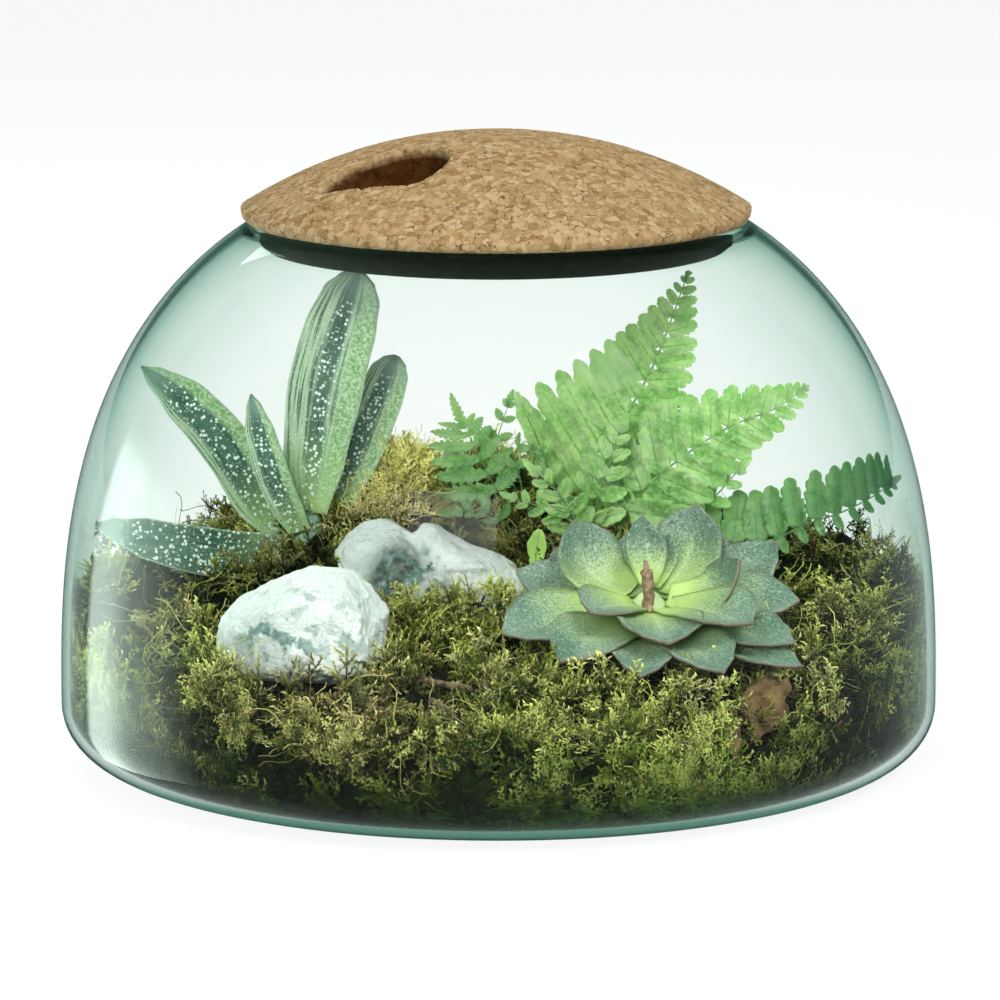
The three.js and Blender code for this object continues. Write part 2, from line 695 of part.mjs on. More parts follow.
// Reach and taper are given for the left and the right leaflets, lean for the foot and the tip of the frond.
const FRONDS = {
  fern_frond_tall: {
    ...BIG_FERN,
    root: [24, 25],
    path: [[29, 24, 87], [41, 23.5, 107.5], [53.5, 22, 131], [60.5, 20.5, 150], [65, 19, 163.5]],
    sides: [[0.86, -0.3, -0.4], [0.95, -0.2, -0.2]],
    pairs: 9,
    bare: 0.17,
    reach: [40, 26],
    taper: [1.15, 0.85],
    lean: [0.45, 1],
  },
  fern_frond_right: {
    ...BIG_FERN,
    root: [41, 15],
    path: [
      [44, 14, 80], [50, 14, 88.5], [64, 14, 100.5],
      [79.5, 14.5, 110.5], [95.5, 15, 117], [105.5, 15, 124],
    ],
    sides: [[0.5, -0.2, -0.82], [0.45, -0.2, -0.85]],
    pairs: 8,
    bare: 0.2,
    reach: [25, 22],
    taper: [0.9, 0.9],
    lean: [0.4, 0.85],
  },
  fern_frond_wall: {
    ...BIG_FERN,
    root: [62, 18],
    path: [
      [68, 19, 68], [91.5, 19, 69], [107.5, 16, 76.5],
      [118, 12, 81], [128.5, 7, 87.5], [135, 2, 93.5],
    ],
    sides: [[0.05, -0.4, -0.9], [0.5, -0.45, -0.75]],
    pairs: 9,
    bare: 0.2,
    reach: [18, 4],
    taper: [0.4, 0.3],
    lean: [0.05, 0.25],
  },
  fern_frond_middle: {
    ...BIG_FERN,
    root: [31, 9],
    path: [[27, 8, 77], [19, 7, 82], [5, 5, 87.5]],
    sides: [[0.3, -0.45, 0.85], [0.3, -0.45, 0.85]],
    pairs: 4,
    bare: 0.35,
    reach: [9, 10],
    taper: [0.7, 0.7],
    lean: [0.35, 0.8],
  },
  small_fern_frond_left: {
    ...SMALL_FERN,
    root: [5, 28],
    path: [[1.5, 28.5, 82], [-4, 29.5, 92], [-8.5, 31, 101], [-12, 32, 108]],
    sides: [[0.85, -0.3, 0.15], [0.85, -0.3, 0.2]],
    pairs: 5,
    bare: 0.42,
    reach: [23, 11],
    taper: [0.35, 0.3],
    lean: [0.3, 0.5],
  },
  small_fern_frond_up: {
    ...SMALL_FERN,
    root: [8, 33],
    path: [[4.5, 34, 88], [-0.5, 35, 99], [3.5, 36, 115]],
    sides: [[1, -0.2, 0.1], [0.9, -0.3, -0.1]],
    pairs: 4,
    bare: 0.5,
    reach: [7, 6],
    taper: [0.5, 0.5],
  },
  small_fern_frond_right: {
    ...SMALL_FERN,
    root: [11, 25],
    path: [[8, 23, 88], [6, 21, 100], [9.5, 19, 104.5], [14, 17, 98]],
    sides: [[0.7, -0.6, 0.3], [0.55, -0.6, 0.6]],
    pairs: 4,
    bare: 0.55,
    reach: [6, 6],
    taper: [0.4, 0.4],
  },
  small_fern_frond_low: {
    ...SMALL_FERN,
    root: [4, 21],
    path: [[0, 18, 78], [-6, 16.5, 81], [-13.5, 16, 80.5]],
    sides: [[0.2, -0.55, 0.8], [0.2, -0.55, 0.8]],
    pairs: 3,
    bare: 0.45,
    reach: [6, 7],
    taper: [0.4, 0.4],
  },
};

// One small bright leaf beside the rosette.
const LIME_LEAF = {
  spine: [[12.5, 2.5, 61], [13, 1.5, 69], [14, -1, 77.5]],
  sides: [[1, -0.3, 0.1], [1, -0.3, 0.1]],
  width: 7,
  shape: [[0, 0.3], [0.35, 0.8], [0.65, 1], [0.9, 0.6], [1, 0.2]],
  channel: 0.4,
  keel: 0.4,
  rim: BLADE,
  columns: 2,
  rows: 5,
};

const frondHole = ({ root }) => {
  const level = mossLevel(...root);
  return stemHole(...root, 1.9, level + 8, level - ROOT_DEPTH - GAP, 6);
};

// Litter

// A dry leaf lying on the moss, curled up a little along its edges.
function dryLeaf({ centre, along, length, width, curl }) {
  const heading = new THREE.Vector3(...along).normalize();
  const [x, y, z] = centre;
  const ends = [-0.5, -0.15, 0.2, 0.5].map((s) => [
    x + heading.x * length * s,
    y + heading.y * length * s,
    z + heading.z * length * s + curl * (4 * s * s - 0.3),
  ]);
  return {
    spine: ends,
    sides: [[1, 0.35, 0.15], [1, 0.35, 0.15]],
    width,
    shape: [[0, 0.35], [0.25, 0.85], [0.55, 1], [0.85, 0.7], [1, 0.15]],
    channel: curl,
    keel: curl,
    rim: BLADE,
    columns: 4,
    rows: 6,
  };
}

const DRY_LEAVES = {
  dead_leaf: { centre: [87, -99, 40], along: [0.35, 0.75, 0.9], length: 19, width: 18, curl: 1 },
  dead_leaf_strip: { centre: [76, -115, 33], along: [-0.1, 0.6, 1], length: 17, width: 5, curl: 0.6 },
};

// Twigs lie half sunk in the moss: plan points, radius.
const TWIGS = {
  twig_long: { plan: [[-32, -70], [-24, -82], [-9, -96]], radius: 1.3 },
  twig_short: { plan: [[-5, -84], [-3, -94], [0, -103]], radius: 1.1 },
  twig_front: { plan: [[-22, -101], [-18, -112], [-14, -122]], radius: 1.1 },
  twig_bottom: { plan: [[-45, -104], [-38, -112], [-30, -120]], radius: 1 },
  stem_pale: { plan: [[-16, -66], [-10, -52], [-3, -46]], radius: 1.2 },
};

function twigSolid({ plan, radius }, grow = 0) {
  const points = plan.map(([x, y]) => [x, y, mossLevel(x, y) + radius * 0.6]);
  return solidOf(rodAlong(at(points), radius + grow, 6, 4));
}

// Assembly

const terrarium = new THREE.Group();
terrarium.name = "glass_plant_terrarium";

function put(name, solid, material) {
  const mesh = new THREE.Mesh(geometryOf(solid), material);
  mesh.name = name;
  terrarium.add(mesh);
}

put("glass_bowl", glassBowl(), FINISH.glass);
put("cork_lid", corkLid(), FINISH.cork);

const rockSeats = Object.values(ROCKS).map((rock) => boulder(rock, 0.5));
const frondHoles = Object.values(FRONDS).map(frondHole);
const stemHoles = [
  stemHole(CROWN.x, CROWN.y, CROWN.radius + GAP + 0.3, 90, CROWN.bottom - GAP),
  stemHole(ROSETTE.x, ROSETTE.y, ROSETTE.stemRadius + GAP + 0.2, 90, ROSETTE.stemBottom - GAP),
];
const beds = [...rockSeats, ...stemHoles, ...frondHoles];
const leafBeds = Object.keys(GASTERIA_LEAVES).map((name) => gasteriaLeaf(name, 0.4));
leafBeds.push(leafSolid(LIME_LEAF, 0.4));
const litterBeds = [
  ...Object.values(DRY_LEAVES).map((leaf) => leafSolid(dryLeaf(leaf), 0.35)),
  ...Object.values(TWIGS).map((twig) => twigSolid(twig, 0.35)),
];

const soil = beds.reduce((left, bed) => left.subtract(bed), soilBlock(0));
const moss = [soilBlock(GAP + 0.2), ...beds, ...leafBeds, ...litterBeds].reduce(
  (left, bed) => left.subtract(bed),
  mossBlock(),
);
const largest = (solid) => solid.decompose().sort((a, b) => b.volume() - a.volume())[0];
put("soil_mound", largest(soil), FINISH.soil);
put("moss_bed", largest(moss), FINISH.moss);

for (const [name, rock] of Object.entries(ROCKS)) put(name, boulder(rock), FINISH.rock);

put("gasteria_crown", gasteriaCrown(), FINISH.gasteria);
for (const name of Object.keys(GASTERIA_LEAVES)) put(name, gasteriaLeaf(name), FINISH.gasteria);

put("succulent_rosette", succulentRosette(), FINISH.rosette);
put("flower_stalk_stub", flowerStalkStub(), FINISH.stalk);

for (const [name, frond] of Object.entries(FRONDS)) put(name, frondSolid(frond), FINISH.fern);
put("fern_leaf_lime", leafSolid(LIME_LEAF), FINISH.lime);

for (const [name, leaf] of Object.entries(DRY_LEAVES)) {
  put(name, leafSolid(dryLeaf(leaf)), FINISH.litter);
}
for (const [name, twig] of Object.entries(TWIGS)) put(name, twigSolid(twig), FINISH.twig);

export default terrarium;
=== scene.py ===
"""A planted glass terrarium: glass, cork, moss, stones and plants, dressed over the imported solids.

Lengths are in millimetres and MM turns them into Blender's metres. The bowl stands on z = 0 with its front
towards -Y. Every random draw is seeded.
"""

import math
import random

import bpy
import numpy as np
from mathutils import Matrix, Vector, noise
from mathutils.bvhtree import BVHTree


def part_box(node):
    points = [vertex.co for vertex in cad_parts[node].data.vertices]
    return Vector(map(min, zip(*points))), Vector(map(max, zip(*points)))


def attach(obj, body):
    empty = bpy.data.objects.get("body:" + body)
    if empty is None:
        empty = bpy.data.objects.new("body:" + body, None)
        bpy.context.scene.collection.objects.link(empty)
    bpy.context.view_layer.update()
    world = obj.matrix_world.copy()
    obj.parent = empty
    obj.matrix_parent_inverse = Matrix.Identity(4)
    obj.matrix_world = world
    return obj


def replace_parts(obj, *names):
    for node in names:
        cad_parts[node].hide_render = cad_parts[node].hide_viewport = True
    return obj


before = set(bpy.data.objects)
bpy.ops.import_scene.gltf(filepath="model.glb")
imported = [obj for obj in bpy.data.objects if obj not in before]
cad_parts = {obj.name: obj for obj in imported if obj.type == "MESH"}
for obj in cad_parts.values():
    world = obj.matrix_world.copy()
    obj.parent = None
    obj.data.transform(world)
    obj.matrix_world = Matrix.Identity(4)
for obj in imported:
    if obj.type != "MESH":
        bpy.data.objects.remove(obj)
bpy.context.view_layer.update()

MM = 0.001
NOISE_SEED = 3
noise.seed_set(NOISE_SEED)

# Bowl
BOWL_RADIUS = 150
BASE_RADIUS = 125
WIDEST_HEIGHT = 20
SHOULDER_RISE = 184.2
SHOULDER_POWER = 2.58
SHOULDER_ROOT = 2.32
CORNER_POWER = 2.15
WALL = 2.6
FLOOR = 2.4
PUNT = 0.8
COLLAR_OUTER = 85
COLLAR_INNER = 80.5
COLLAR_TOP = 184.8
LIP_RISE = 1.2
LIP_STEPS = 6
PUNT_RADIUS = 60
BASE_RING = [(96, 0.15), (100, 0)]
BOWL_SIDES = 128

# Lid
PLUG_RADIUS = 79.4
FLANGE_BOTTOM = 185.1
PLUG_BOTTOM = 175.1
LID_RADIUS = 86.5
LID_CENTRE_X = -0.8
DOME_BASE = 189
DOME_RISE = 25
SCOOP_RINGS = 24
DOME_RINGS = 62
SCOOP_DEPTH = 14
SCOOP_CENTRE = (-27, -29)
SCOOP_OUTLINE = [
    (-61, -36), (-54, -26), (-41, -19), (-29, -17), (-19, -22),
    (-16, -33), (-20, -44), (-28, -51), (-40, -47), (-51, -42),
]

# Moss
MOSS_FLOOR = 2.8
MOSS_WALL_GAP = 0.6
MOSS_SEED = 11
ROOT_DEPTH = 9
TOP_CLUMPS = 1030
WALL_CLUMPS = 680
SHOOT_KINDS = 10
THREAD_KINDS = 6
THREAD_STEPS = 6
SHOOT_LENGTHS = (6, 11)
THREAD_LENGTHS = (10, 20)
MOSS_REACH = 140.0
LITTER_REACH = 138
WALL_TOP_REACH = 136
USUAL_WALL_TOP = 45
LOWEST_TOP = 12
STEEPEST_MOSS = 0.15
# Shoots are sparser where lump is below HOLLOW and three times as dense over MOUND_TOP. Below
# FRONT_FIRST_BELOW more of them stand in front.
HOLLOW = -0.14
MOUND_TOP = 76
FRONT_FIRST_BELOW = 66


# Meshes

def paint_shade(mesh, shade):
    """Stores four values a point for the material to read."""
    layer = mesh.color_attributes.new("shade", "FLOAT_COLOR", "POINT")
    layer.data.foreach_set("color", np.asarray(shade, dtype=np.float32).ravel())


def add_object(name, data):
    made = bpy.data.objects.new(name, data)
    bpy.context.scene.collection.objects.link(made)
    return made


def new_piece(name, points, faces, material, smooth=True, shade=None):
    """A mesh piece from points in millimetres."""
    mesh = bpy.data.meshes.new(name)
    points = np.asarray(points, dtype=np.float32) * MM
    if isinstance(faces, np.ndarray):
        count, sides = faces.shape
        mesh.vertices.add(len(points))
        mesh.vertices.foreach_set("co", points.ravel())
        mesh.loops.add(faces.size)
        mesh.loops.foreach_set("vertex_index", faces.astype(np.int32).ravel())
        mesh.polygons.add(count)
        mesh.polygons.foreach_set("loop_start", np.arange(0, faces.size, sides, dtype=np.int32))
        mesh.update(calc_edges=True)
    else:
        mesh.from_pydata(points.tolist(), [], faces)
    mesh.validate()
    mesh.polygons.foreach_set("use_smooth", [smooth] * len(mesh.polygons))
    if shade is not None:
        paint_shade(mesh, shade)
    mesh.materials.append(material)
    piece = add_object(name, mesh)
    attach(piece, "root")
    return piece


def turns_round(sides):
    """The turn of each point of a ring, in radians."""
    return [2 * math.pi * k / sides for k in range(sides)]


def polar(r, turn, z=0):
    return r * math.cos(turn), r * math.sin(turn), z


def last_ring(points, sides):
    """A face over the last ring of points."""
    return tuple(range(len(points) - sides, len(points)))


def grid_faces(rows, columns, wrap=False):
    """Quads over rows of points. With wrap, the last column meets the first."""
    faces = []
    across = columns if wrap else columns - 1
    for row in range(rows - 1):
        for column in range(across):
            a = row * columns + column
            b = row * columns + (column + 1) % columns
            faces.append((a, b, b + columns, a + columns))
    return faces


def closed_faces(points, rows, sides):
    """Faces over rings of points that run along a stem or leaf, with both its ends closed."""
    faces = [face[::-1] for face in grid_faces(rows, sides, wrap=True)]
    return [*faces, tuple(range(sides)), last_ring(points, sides)[::-1]]


def smoothstep(x, low, high):
    share = np.clip((x - low) / (high - low), 0, 1)
    return share * share * (3 - 2 * share)


def between(pair, share):
    """The value at a share of the way from the first of a pair to the second."""
    return pair[0] + (pair[1] - pair[0]) * share


def through(knots):
    """A smooth curve of value against station, through a few knots."""
    stations = [s for s, _ in knots]
    values = [v for _, v in knots]

    def read(s):
        k = 0
        while k < len(knots) - 2 and s > stations[k + 1]:
            k += 1
        share = min(1, max(0, (s - stations[k]) / (stations[k + 1] - stations[k])))
        eased = (share * share * (3 - 2 * share) + share) / 2
        return values[k] + (values[k + 1] - values[k]) * eased

    return read


class Spine:
    """A smooth path through a few points, read by its share of length."""

    def __init__(self, points, steps=20):
        knots = [Vector(p) for p in points]
        knots = [2 * knots[0] - knots[1], *knots, 2 * knots[-1] - knots[-2]]
        fine = []
        for p0, p1, p2, p3 in zip(knots, knots[1:], knots[2:], knots[3:]):
            t1 = (p1 - p0).length ** 0.5
            t2 = t1 + (p2 - p1).length ** 0.5
            t3 = t2 + (p3 - p2).length ** 0.5
            for step in range(steps):
                t = t1 + (t2 - t1) * step / steps
                a1 = p0 * ((t1 - t) / t1) + p1 * (t / t1)
                a2 = p1 * ((t2 - t) / (t2 - t1)) + p2 * ((t - t1) / (t2 - t1))
                a3 = p2 * ((t3 - t) / (t3 - t2)) + p3 * ((t - t2) / (t3 - t2))
                b1 = a1 * ((t2 - t) / t2) + a2 * (t / t2)
                b2 = a2 * ((t3 - t) / (t3 - t1)) + a3 * ((t - t1) / (t3 - t1))
                fine.append(b1 * ((t2 - t) / (t2 - t1)) + b2 * ((t - t1) / (t2 - t1)))
        self.points = [*fine, knots[-2]]
        self.reach = [0.0]
        for a, b in zip(self.points, self.points[1:]):
            self.reach.append(self.reach[-1] + (b - a).length)
        self.length = self.reach[-1]

    def at(self, share):
        goal = min(1, max(0, share)) * self.length
        k = int(np.searchsorted(self.reach, goal, side="right")) - 1
        k = min(k, len(self.points) - 2)
        step = self.reach[k + 1] - self.reach[k]
        return self.points[k].lerp(self.points[k + 1], (goal - self.reach[k]) / step)

    def frame(self, share, sides):
        """The point, direction, side and upper face's normal at a share of the length.

        sides gives the side at the foot and, if it turns, at the tip.
        """
        along = (self.at(share + 0.01) - self.at(share - 0.01)).normalized()
        side = Vector(sides[0]).lerp(Vector(sides[-1]), share)
        side = (side - along * side.dot(along)).normalized()
        return self.at(share), along, side, side.cross(along)


def rough(point, scale, detail=3):
    """Layered noise round 0 at a point, with waves of about scale millimetres."""
    return noise.fractal(Vector(point) / scale, 0.9, 2.1, detail)


# Shader nodes

def feed(tree, socket, value):
    """Links another node's socket to an input, or sets the input's own value. A colour has no alpha."""
    if isinstance(value, bpy.types.NodeSocket):
        tree.links.new(value, socket)
    elif isinstance(value, tuple) and socket.type == "RGBA":
        socket.default_value = (*value, 1)
    else:
        socket.default_value = value


def add_node(tree, kind, inputs=None, **settings):
    """A shader node with its settings and inputs. An input is a value or another node's socket."""
    made = tree.nodes.new("ShaderNode" + kind)
    for name, value in settings.items():
        setattr(made, name, value)
    for key, value in (inputs or {}).items():
        feed(tree, made.inputs[key], value)
    return made


def colour_ramp(tree, factor, stops):
    made = add_node(tree, "ValToRGB", {"Fac": factor})
    ramp = made.color_ramp
    while len(ramp.elements) < len(stops):
        ramp.elements.new(0.5)
    for element, (place, colour) in zip(ramp.elements, stops):
        element.position = place
        element.color = (*colour, 1)
    return made.outputs["Color"]


def mix_colour(tree, factor, first, second, blend="MIX"):
    made = add_node(tree, "Mix", data_type="RGBA", blend_type=blend, clamp_factor=True)
    for number, value in ((0, factor), (6, first), (7, second)):
        feed(tree, made.inputs[number], value)
    return made.outputs[2]


def maths(tree, operation, first, second=0.0):
    return add_node(tree, "Math", {0: first, 1: second}, operation=operation).outputs[0]


def times(tree, first, second):
    return maths(tree, "MULTIPLY", first, second)


def rise(tree, value, start, end):
    """0 where the value is at start or before it, 1 from end on, and straight between them."""
    return add_node(tree, "MapRange", {"Value": value, "From Min": start, "From Max": end}).outputs[0]


def tint(tree, colour, mask, strength, new):
    """A colour mixed towards a new one where the mask says, as far as the strength."""
    return mix_colour(tree, times(tree, mask, strength), colour, new)


def darken(tree, colour, mask, by):
    """A colour multiplied by another where the mask says."""
    return mix_colour(tree, mask, colour, mix_colour(tree, 1.0, colour, by, "MULTIPLY"))


def from_middle(tree, across):
    """0 along a leaf's midline and 1 at its edges."""
    return times(tree, maths(tree, "ABSOLUTE", maths(tree, "SUBTRACT", across, 0.5)), 2.0)


def height_of(tree):
    """Height over the table, in metres."""
    return add_node(tree, "SeparateXYZ", {"Vector": object_place(tree)}).outputs["Z"]


def object_place(tree):
    """Object coordinates, which are metres in the part's own frame."""
    return add_node(tree, "TexCoord").outputs["Object"]


def shade_parts(tree):
    """The three channels of the piece's own shade attribute."""
    read = add_node(tree, "Attribute", attribute_name="shade")
    parts = add_node(tree, "SeparateColor", {"Color": read.outputs["Color"]})
    return [parts.outputs[channel] for channel in ("Red", "Green", "Blue")]


def new_material(name):
    material = bpy.data.materials.new(name)
    material.use_nodes = True
    return material, material.node_tree, material.node_tree.nodes["Principled BSDF"]


def new_group(name, inputs):
    """A group of nodes that puts out one mask. An input without a value is a place."""
    group = bpy.data.node_groups.new(name, "ShaderNodeTree")
    for label, value in inputs.items():
        kind = "NodeSocketVector" if value is None else "NodeSocketFloat"
        socket = group.interface.new_socket(label, in_out="INPUT", socket_type=kind)
        if value is not None:
            socket.default_value = value
    group.interface.new_socket("Mask", in_out="OUTPUT", socket_type="NodeSocketFloat")
    entry = group.nodes.new("NodeGroupInput").outputs
    return group, entry, group.nodes.new("NodeGroupOutput").inputs["Mask"]


def mottle_group():
    """Soft blotches: a mask from layered noise, cut between Low and High."""
    group, entry, mask = new_group("mottle", {"Place": None, "Scale": 100.0, "Low": 0.4, "High": 0.6})
    cloud = add_node(group, "TexNoise", {"Vector": entry["Place"], "Scale": entry["Scale"], "Detail": 6.0})
    feed(group, mask, rise(group, cloud.outputs[0], entry["Low"], entry["High"]))
    return group


def specks_group():
    """Round specks: a mask that is 1 inside each speck, with Share of the cells left bare."""
    group, entry, mask = new_group("specks", {"Place": None, "Scale": 900.0, "Size": 0.3, "Share": 0.3})
    cells = add_node(group, "TexVoronoi", {"Vector": entry["Place"], "Scale": entry["Scale"]})
    inside = rise(group, cells.outputs["Distance"], entry["Size"], 0.0)
    chance = add_node(group, "SeparateColor", {"Color": cells.outputs["Color"]})
    kept = maths(group, "GREATER_THAN", chance.outputs["Red"], entry["Share"])
    feed(group, mask, times(group, inside, kept))
    return group


def stripes_group():
    """Broken lines that run along a leaf, from its Across share and its place."""
    group, entry, mask = new_group(
        "stripes", {"Across": 0.5, "Along": 0.5, "Count": 20.0, "Low": 0.45, "High": 0.6})
    place = add_node(group, "CombineXYZ", {
        "X": times(group, entry["Across"], entry["Count"]), "Y": times(group, entry["Along"], 3.0),
    })
    cloud = add_node(group, "TexNoise", {"Vector": place.outputs[0], "Scale": 1.0, "Detail": 3.0})
    feed(group, mask, rise(group, cloud.outputs[0], entry["Low"], entry["High"]))
    return group


MOTTLE = mottle_group()
SPECKS = specks_group()
STRIPES = stripes_group()


def use_group(tree, group, **inputs):
    return add_node(tree, "Group", inputs, node_tree=group).outputs["Mask"]


def mottle(tree, scale, low, high):
    return use_group(tree, MOTTLE, Place=object_place(tree), Scale=scale, Low=low, High=high)


def specks(tree, scale, size, share, place=None):
    place = object_place(tree) if place is None else place
    return use_group(tree, SPECKS, Place=place, Scale=scale, Size=size, Share=share)


def finish(tree, shader, inputs, height=None, strength=0.0, distance=0.0):
    """Sets a shader's inputs and, where a height is given, its relief in millimetres."""
    for key, value in inputs.items():
        feed(tree, shader.inputs[key], value)
    if height is not None:
        bump = add_node(tree, "Bump", {"Height": height, "Strength": strength, "Distance": distance * MM})
        feed(tree, shader.inputs["Normal"], bump.outputs[0])


# Materials

def glass_material():
    """Aqua-green blown glass: clear face on, teal at grazing angles. Shadow rays pass straight through."""
    material, tree, shader = new_material("aqua_glass")
    facing = add_node(tree, "LayerWeight", {"Blend": 0.5}).outputs["Facing"]
    colour = colour_ramp(tree, facing, [
        (0.0, (0.975, 0.99, 0.98)), (0.35, (0.90, 0.955, 0.925)), (0.7, (0.68, 0.82, 0.755)),
        (0.9, (0.40, 0.66, 0.56)), (1.0, (0.06, 0.32, 0.22)),
    ])
    height = height_of(tree)
    thick_base, neck = rise(tree, height, 0.008, 0.002), rise(tree, height, 0.177, 0.182)
    colour = tint(tree, colour, thick_base, 0.95, (0.012, 0.15, 0.085))
    colour = tint(tree, colour, neck, 0.6, (0.22, 0.42, 0.33))
    finish(tree, shader, {
        "Base Color": colour, "Transmission Weight": 1.0, "Roughness": 0.0, "IOR": 1.15,
        "Coat Weight": 0.05, "Coat Roughness": 0.02,
    })
    clear = add_node(tree, "BsdfTransparent", {"Color": (0.93, 0.985, 0.96)})
    rays = add_node(tree, "LightPath")
    both = add_node(tree, "MixShader", {
        0: rays.outputs["Is Shadow Ray"], 1: shader.outputs[0], 2: clear.outputs[0],
    })
    feed(tree, tree.nodes["Material Output"].inputs["Surface"], both.outputs[0])
    return material


def cork_material():
    """Pressed cork: tan granules of 2 to 3 mm with brown seams and dark pits. Shade: painted shade in the
    scoop's hollow, painted shade on the plug.
    """
    material, tree, shader = new_material("pressed_cork")
    place = object_place(tree)
    bent = add_node(tree, "TexNoise", {"Vector": place, "Scale": 350.0, "Detail": 3.0})
    warp = add_node(tree, "VectorMath", {0: bent.outputs["Color"], "Scale": 0.0016}, operation="SCALE")
    moved = add_node(tree, "VectorMath", {0: place, 1: warp.outputs[0]}, operation="ADD").outputs[0]
    grains = add_node(tree, "TexVoronoi", {"Vector": moved, "Scale": 430.0})
    tone = add_node(tree, "SeparateColor", {"Color": grains.outputs["Color"]})
    colour = colour_ramp(tree, tone.outputs["Red"], [
        (0.0, (0.34, 0.19, 0.075)), (0.2, (0.43, 0.26, 0.115)), (0.5, (0.49, 0.31, 0.15)),
        (0.8, (0.55, 0.365, 0.19)), (1.0, (0.60, 0.42, 0.24)),
    ])
    edges = add_node(tree, "TexVoronoi", {"Vector": moved, "Scale": 430.0}, feature="DISTANCE_TO_EDGE")
    seam = times(tree, rise(tree, edges.outputs["Distance"], 0.1, 0.0), mottle(tree, 300.0, 0.42, 0.66))
    colour = mix_colour(tree, seam, colour, (0.12, 0.05, 0.02))
    fleck = specks(tree, 560.0, 0.34, 0.8, moved)
    colour = mix_colour(tree, fleck, colour, (0.06, 0.022, 0.01))
    hollow, plug_painted_shade, _ = shade_parts(tree)
    # The scoop is darkened with its depth: painted shade in the hollow.
    colour = darken(tree, colour, hollow, (0.14, 0.075, 0.03))
    # The plug is painted near-black: painted shade inside the glass neck.
    colour = darken(tree, colour, plug_painted_shade, (0.004, 0.014, 0.005))
    relief = maths(tree, "SUBTRACT", bent.outputs[0], maths(tree, "ADD", seam, fleck))
    looks = {"Base Color": colour, "Roughness": 0.82, "Specular IOR Level": 0.25}
    finish(tree, shader, looks, relief, 0.55, 0.5)
    return material


def soil_material():
    material, tree, shader = new_material("damp_soil")
    crumbs = mottle(tree, 500.0, 0.35, 0.7)
    colour = mix_colour(tree, crumbs, (0.012, 0.008, 0.005), (0.05, 0.032, 0.02))
    finish(tree, shader, {"Base Color": colour, "Roughness": 0.95}, crumbs, 0.8, 1.0)
    return material


def moss_ground_material():
    """The dark matted floor of the moss, seen between its shoots."""
    material, tree, shader = new_material("moss_mat")
    strands = mottle(tree, 380.0, 0.45, 0.75)
    dark = mix_colour(tree, mottle(tree, 45.0, 0.4, 0.65), (0.003, 0.006, 0.002), (0.010, 0.007, 0.003))
    colour = mix_colour(tree, strands, dark, (0.02, 0.03, 0.008))
    looks = {"Base Color": colour, "Roughness": 0.95, "Specular IOR Level": 0.1}
    finish(tree, shader, looks, strands, 1.0, 1.5)
    return material


def moss_material():
    """Moss shoots. Shade: tone, dryness and the share of the way to the tip; towards the root the shoot is
    darkened with painted shade.
    """
    material, tree, shader = new_material("moss_shoots")
    tone, dry, tip = shade_parts(tree)
    fresh = colour_ramp(tree, tone, [
        (0.0, (0.012, 0.03, 0.008)), (0.3, (0.07, 0.13, 0.02)), (0.6, (0.38, 0.47, 0.05)),
        (1.0, (1.0, 1.0, 0.27)),
    ])
    straw = colour_ramp(tree, tone, [
        (0.0, (0.04, 0.022, 0.01)), (0.35, (0.22, 0.13, 0.045)), (0.7, (0.62, 0.44, 0.17)),
        (1.0, (1.0, 0.86, 0.42)),
    ])
    colour = mix_colour(tree, dry, fresh, straw)
    # Each shoot darkens nearly to black towards its root: painted shade deep in the moss.
    root_painted_shade = mix_colour(tree, 1.0, colour, (0.02, 0.035, 0.015), "MULTIPLY")
    colour = mix_colour(tree, maths(tree, "POWER", tip, 3.1), root_painted_shade, colour)
    colour = tint(tree, colour, specks(tree, 260.0, 0.4, 0.9), 0.7, (0.26, 0.07, 0.04))
    # Darker and greener low behind the glass: painted shade.
    colour = darken(tree, colour, rise(tree, height_of(tree), 0.038, 0.012), (0.07, 0.15, 0.08))
    finish(tree, shader, {"Base Color": colour, "Roughness": 0.8, "Specular IOR Level": 0.06})
    return material


def stone_material():
    """Rough white quartz with small pits and fine grey veins. Shade: grey-green stain, painted shade on one
    side.
    """
    material, tree, shader = new_material("white_quartz")
    stain, side_painted_shade, _ = shade_parts(tree)
    grain = mottle(tree, 420.0, 0.35, 0.75)
    body = mix_colour(tree, grain, (0.68, 0.71, 0.69), (0.87, 0.88, 0.87))
    body = mix_colour(tree, mottle(tree, 40.0, 0.35, 0.65), body, (0.80, 0.81, 0.78))
    # One side darkened nearly to black-green: painted shade.
    body = mix_colour(tree, side_painted_shade, body, mix_colour(tree, grain, (0.05, 0.07, 0.05), (0.20, 0.24, 0.20)))
    stained = mix_colour(tree, grain, (0.09, 0.17, 0.15), (0.28, 0.40, 0.36))
    colour = mix_colour(tree, times(tree, stain, mottle(tree, 190.0, 0.51, 0.56)), body, stained)
    colour = tint(tree, colour, mottle(tree, 170.0, 0.59, 0.66), 0.35, (0.30, 0.33, 0.29))
    pits = specks(tree, 380.0, 0.2, 0.86)
    colour = tint(tree, colour, pits, 0.6, (0.14, 0.15, 0.11))
    crust = times(tree, mottle(tree, 1100.0, 0.3, 0.7), 0.4)
    relief = maths(tree, "ADD", maths(tree, "SUBTRACT", grain, pits), crust)
    finish(tree, shader, {"Base Color": colour, "Roughness": 0.75}, relief, 0.8, 0.9)
    return material


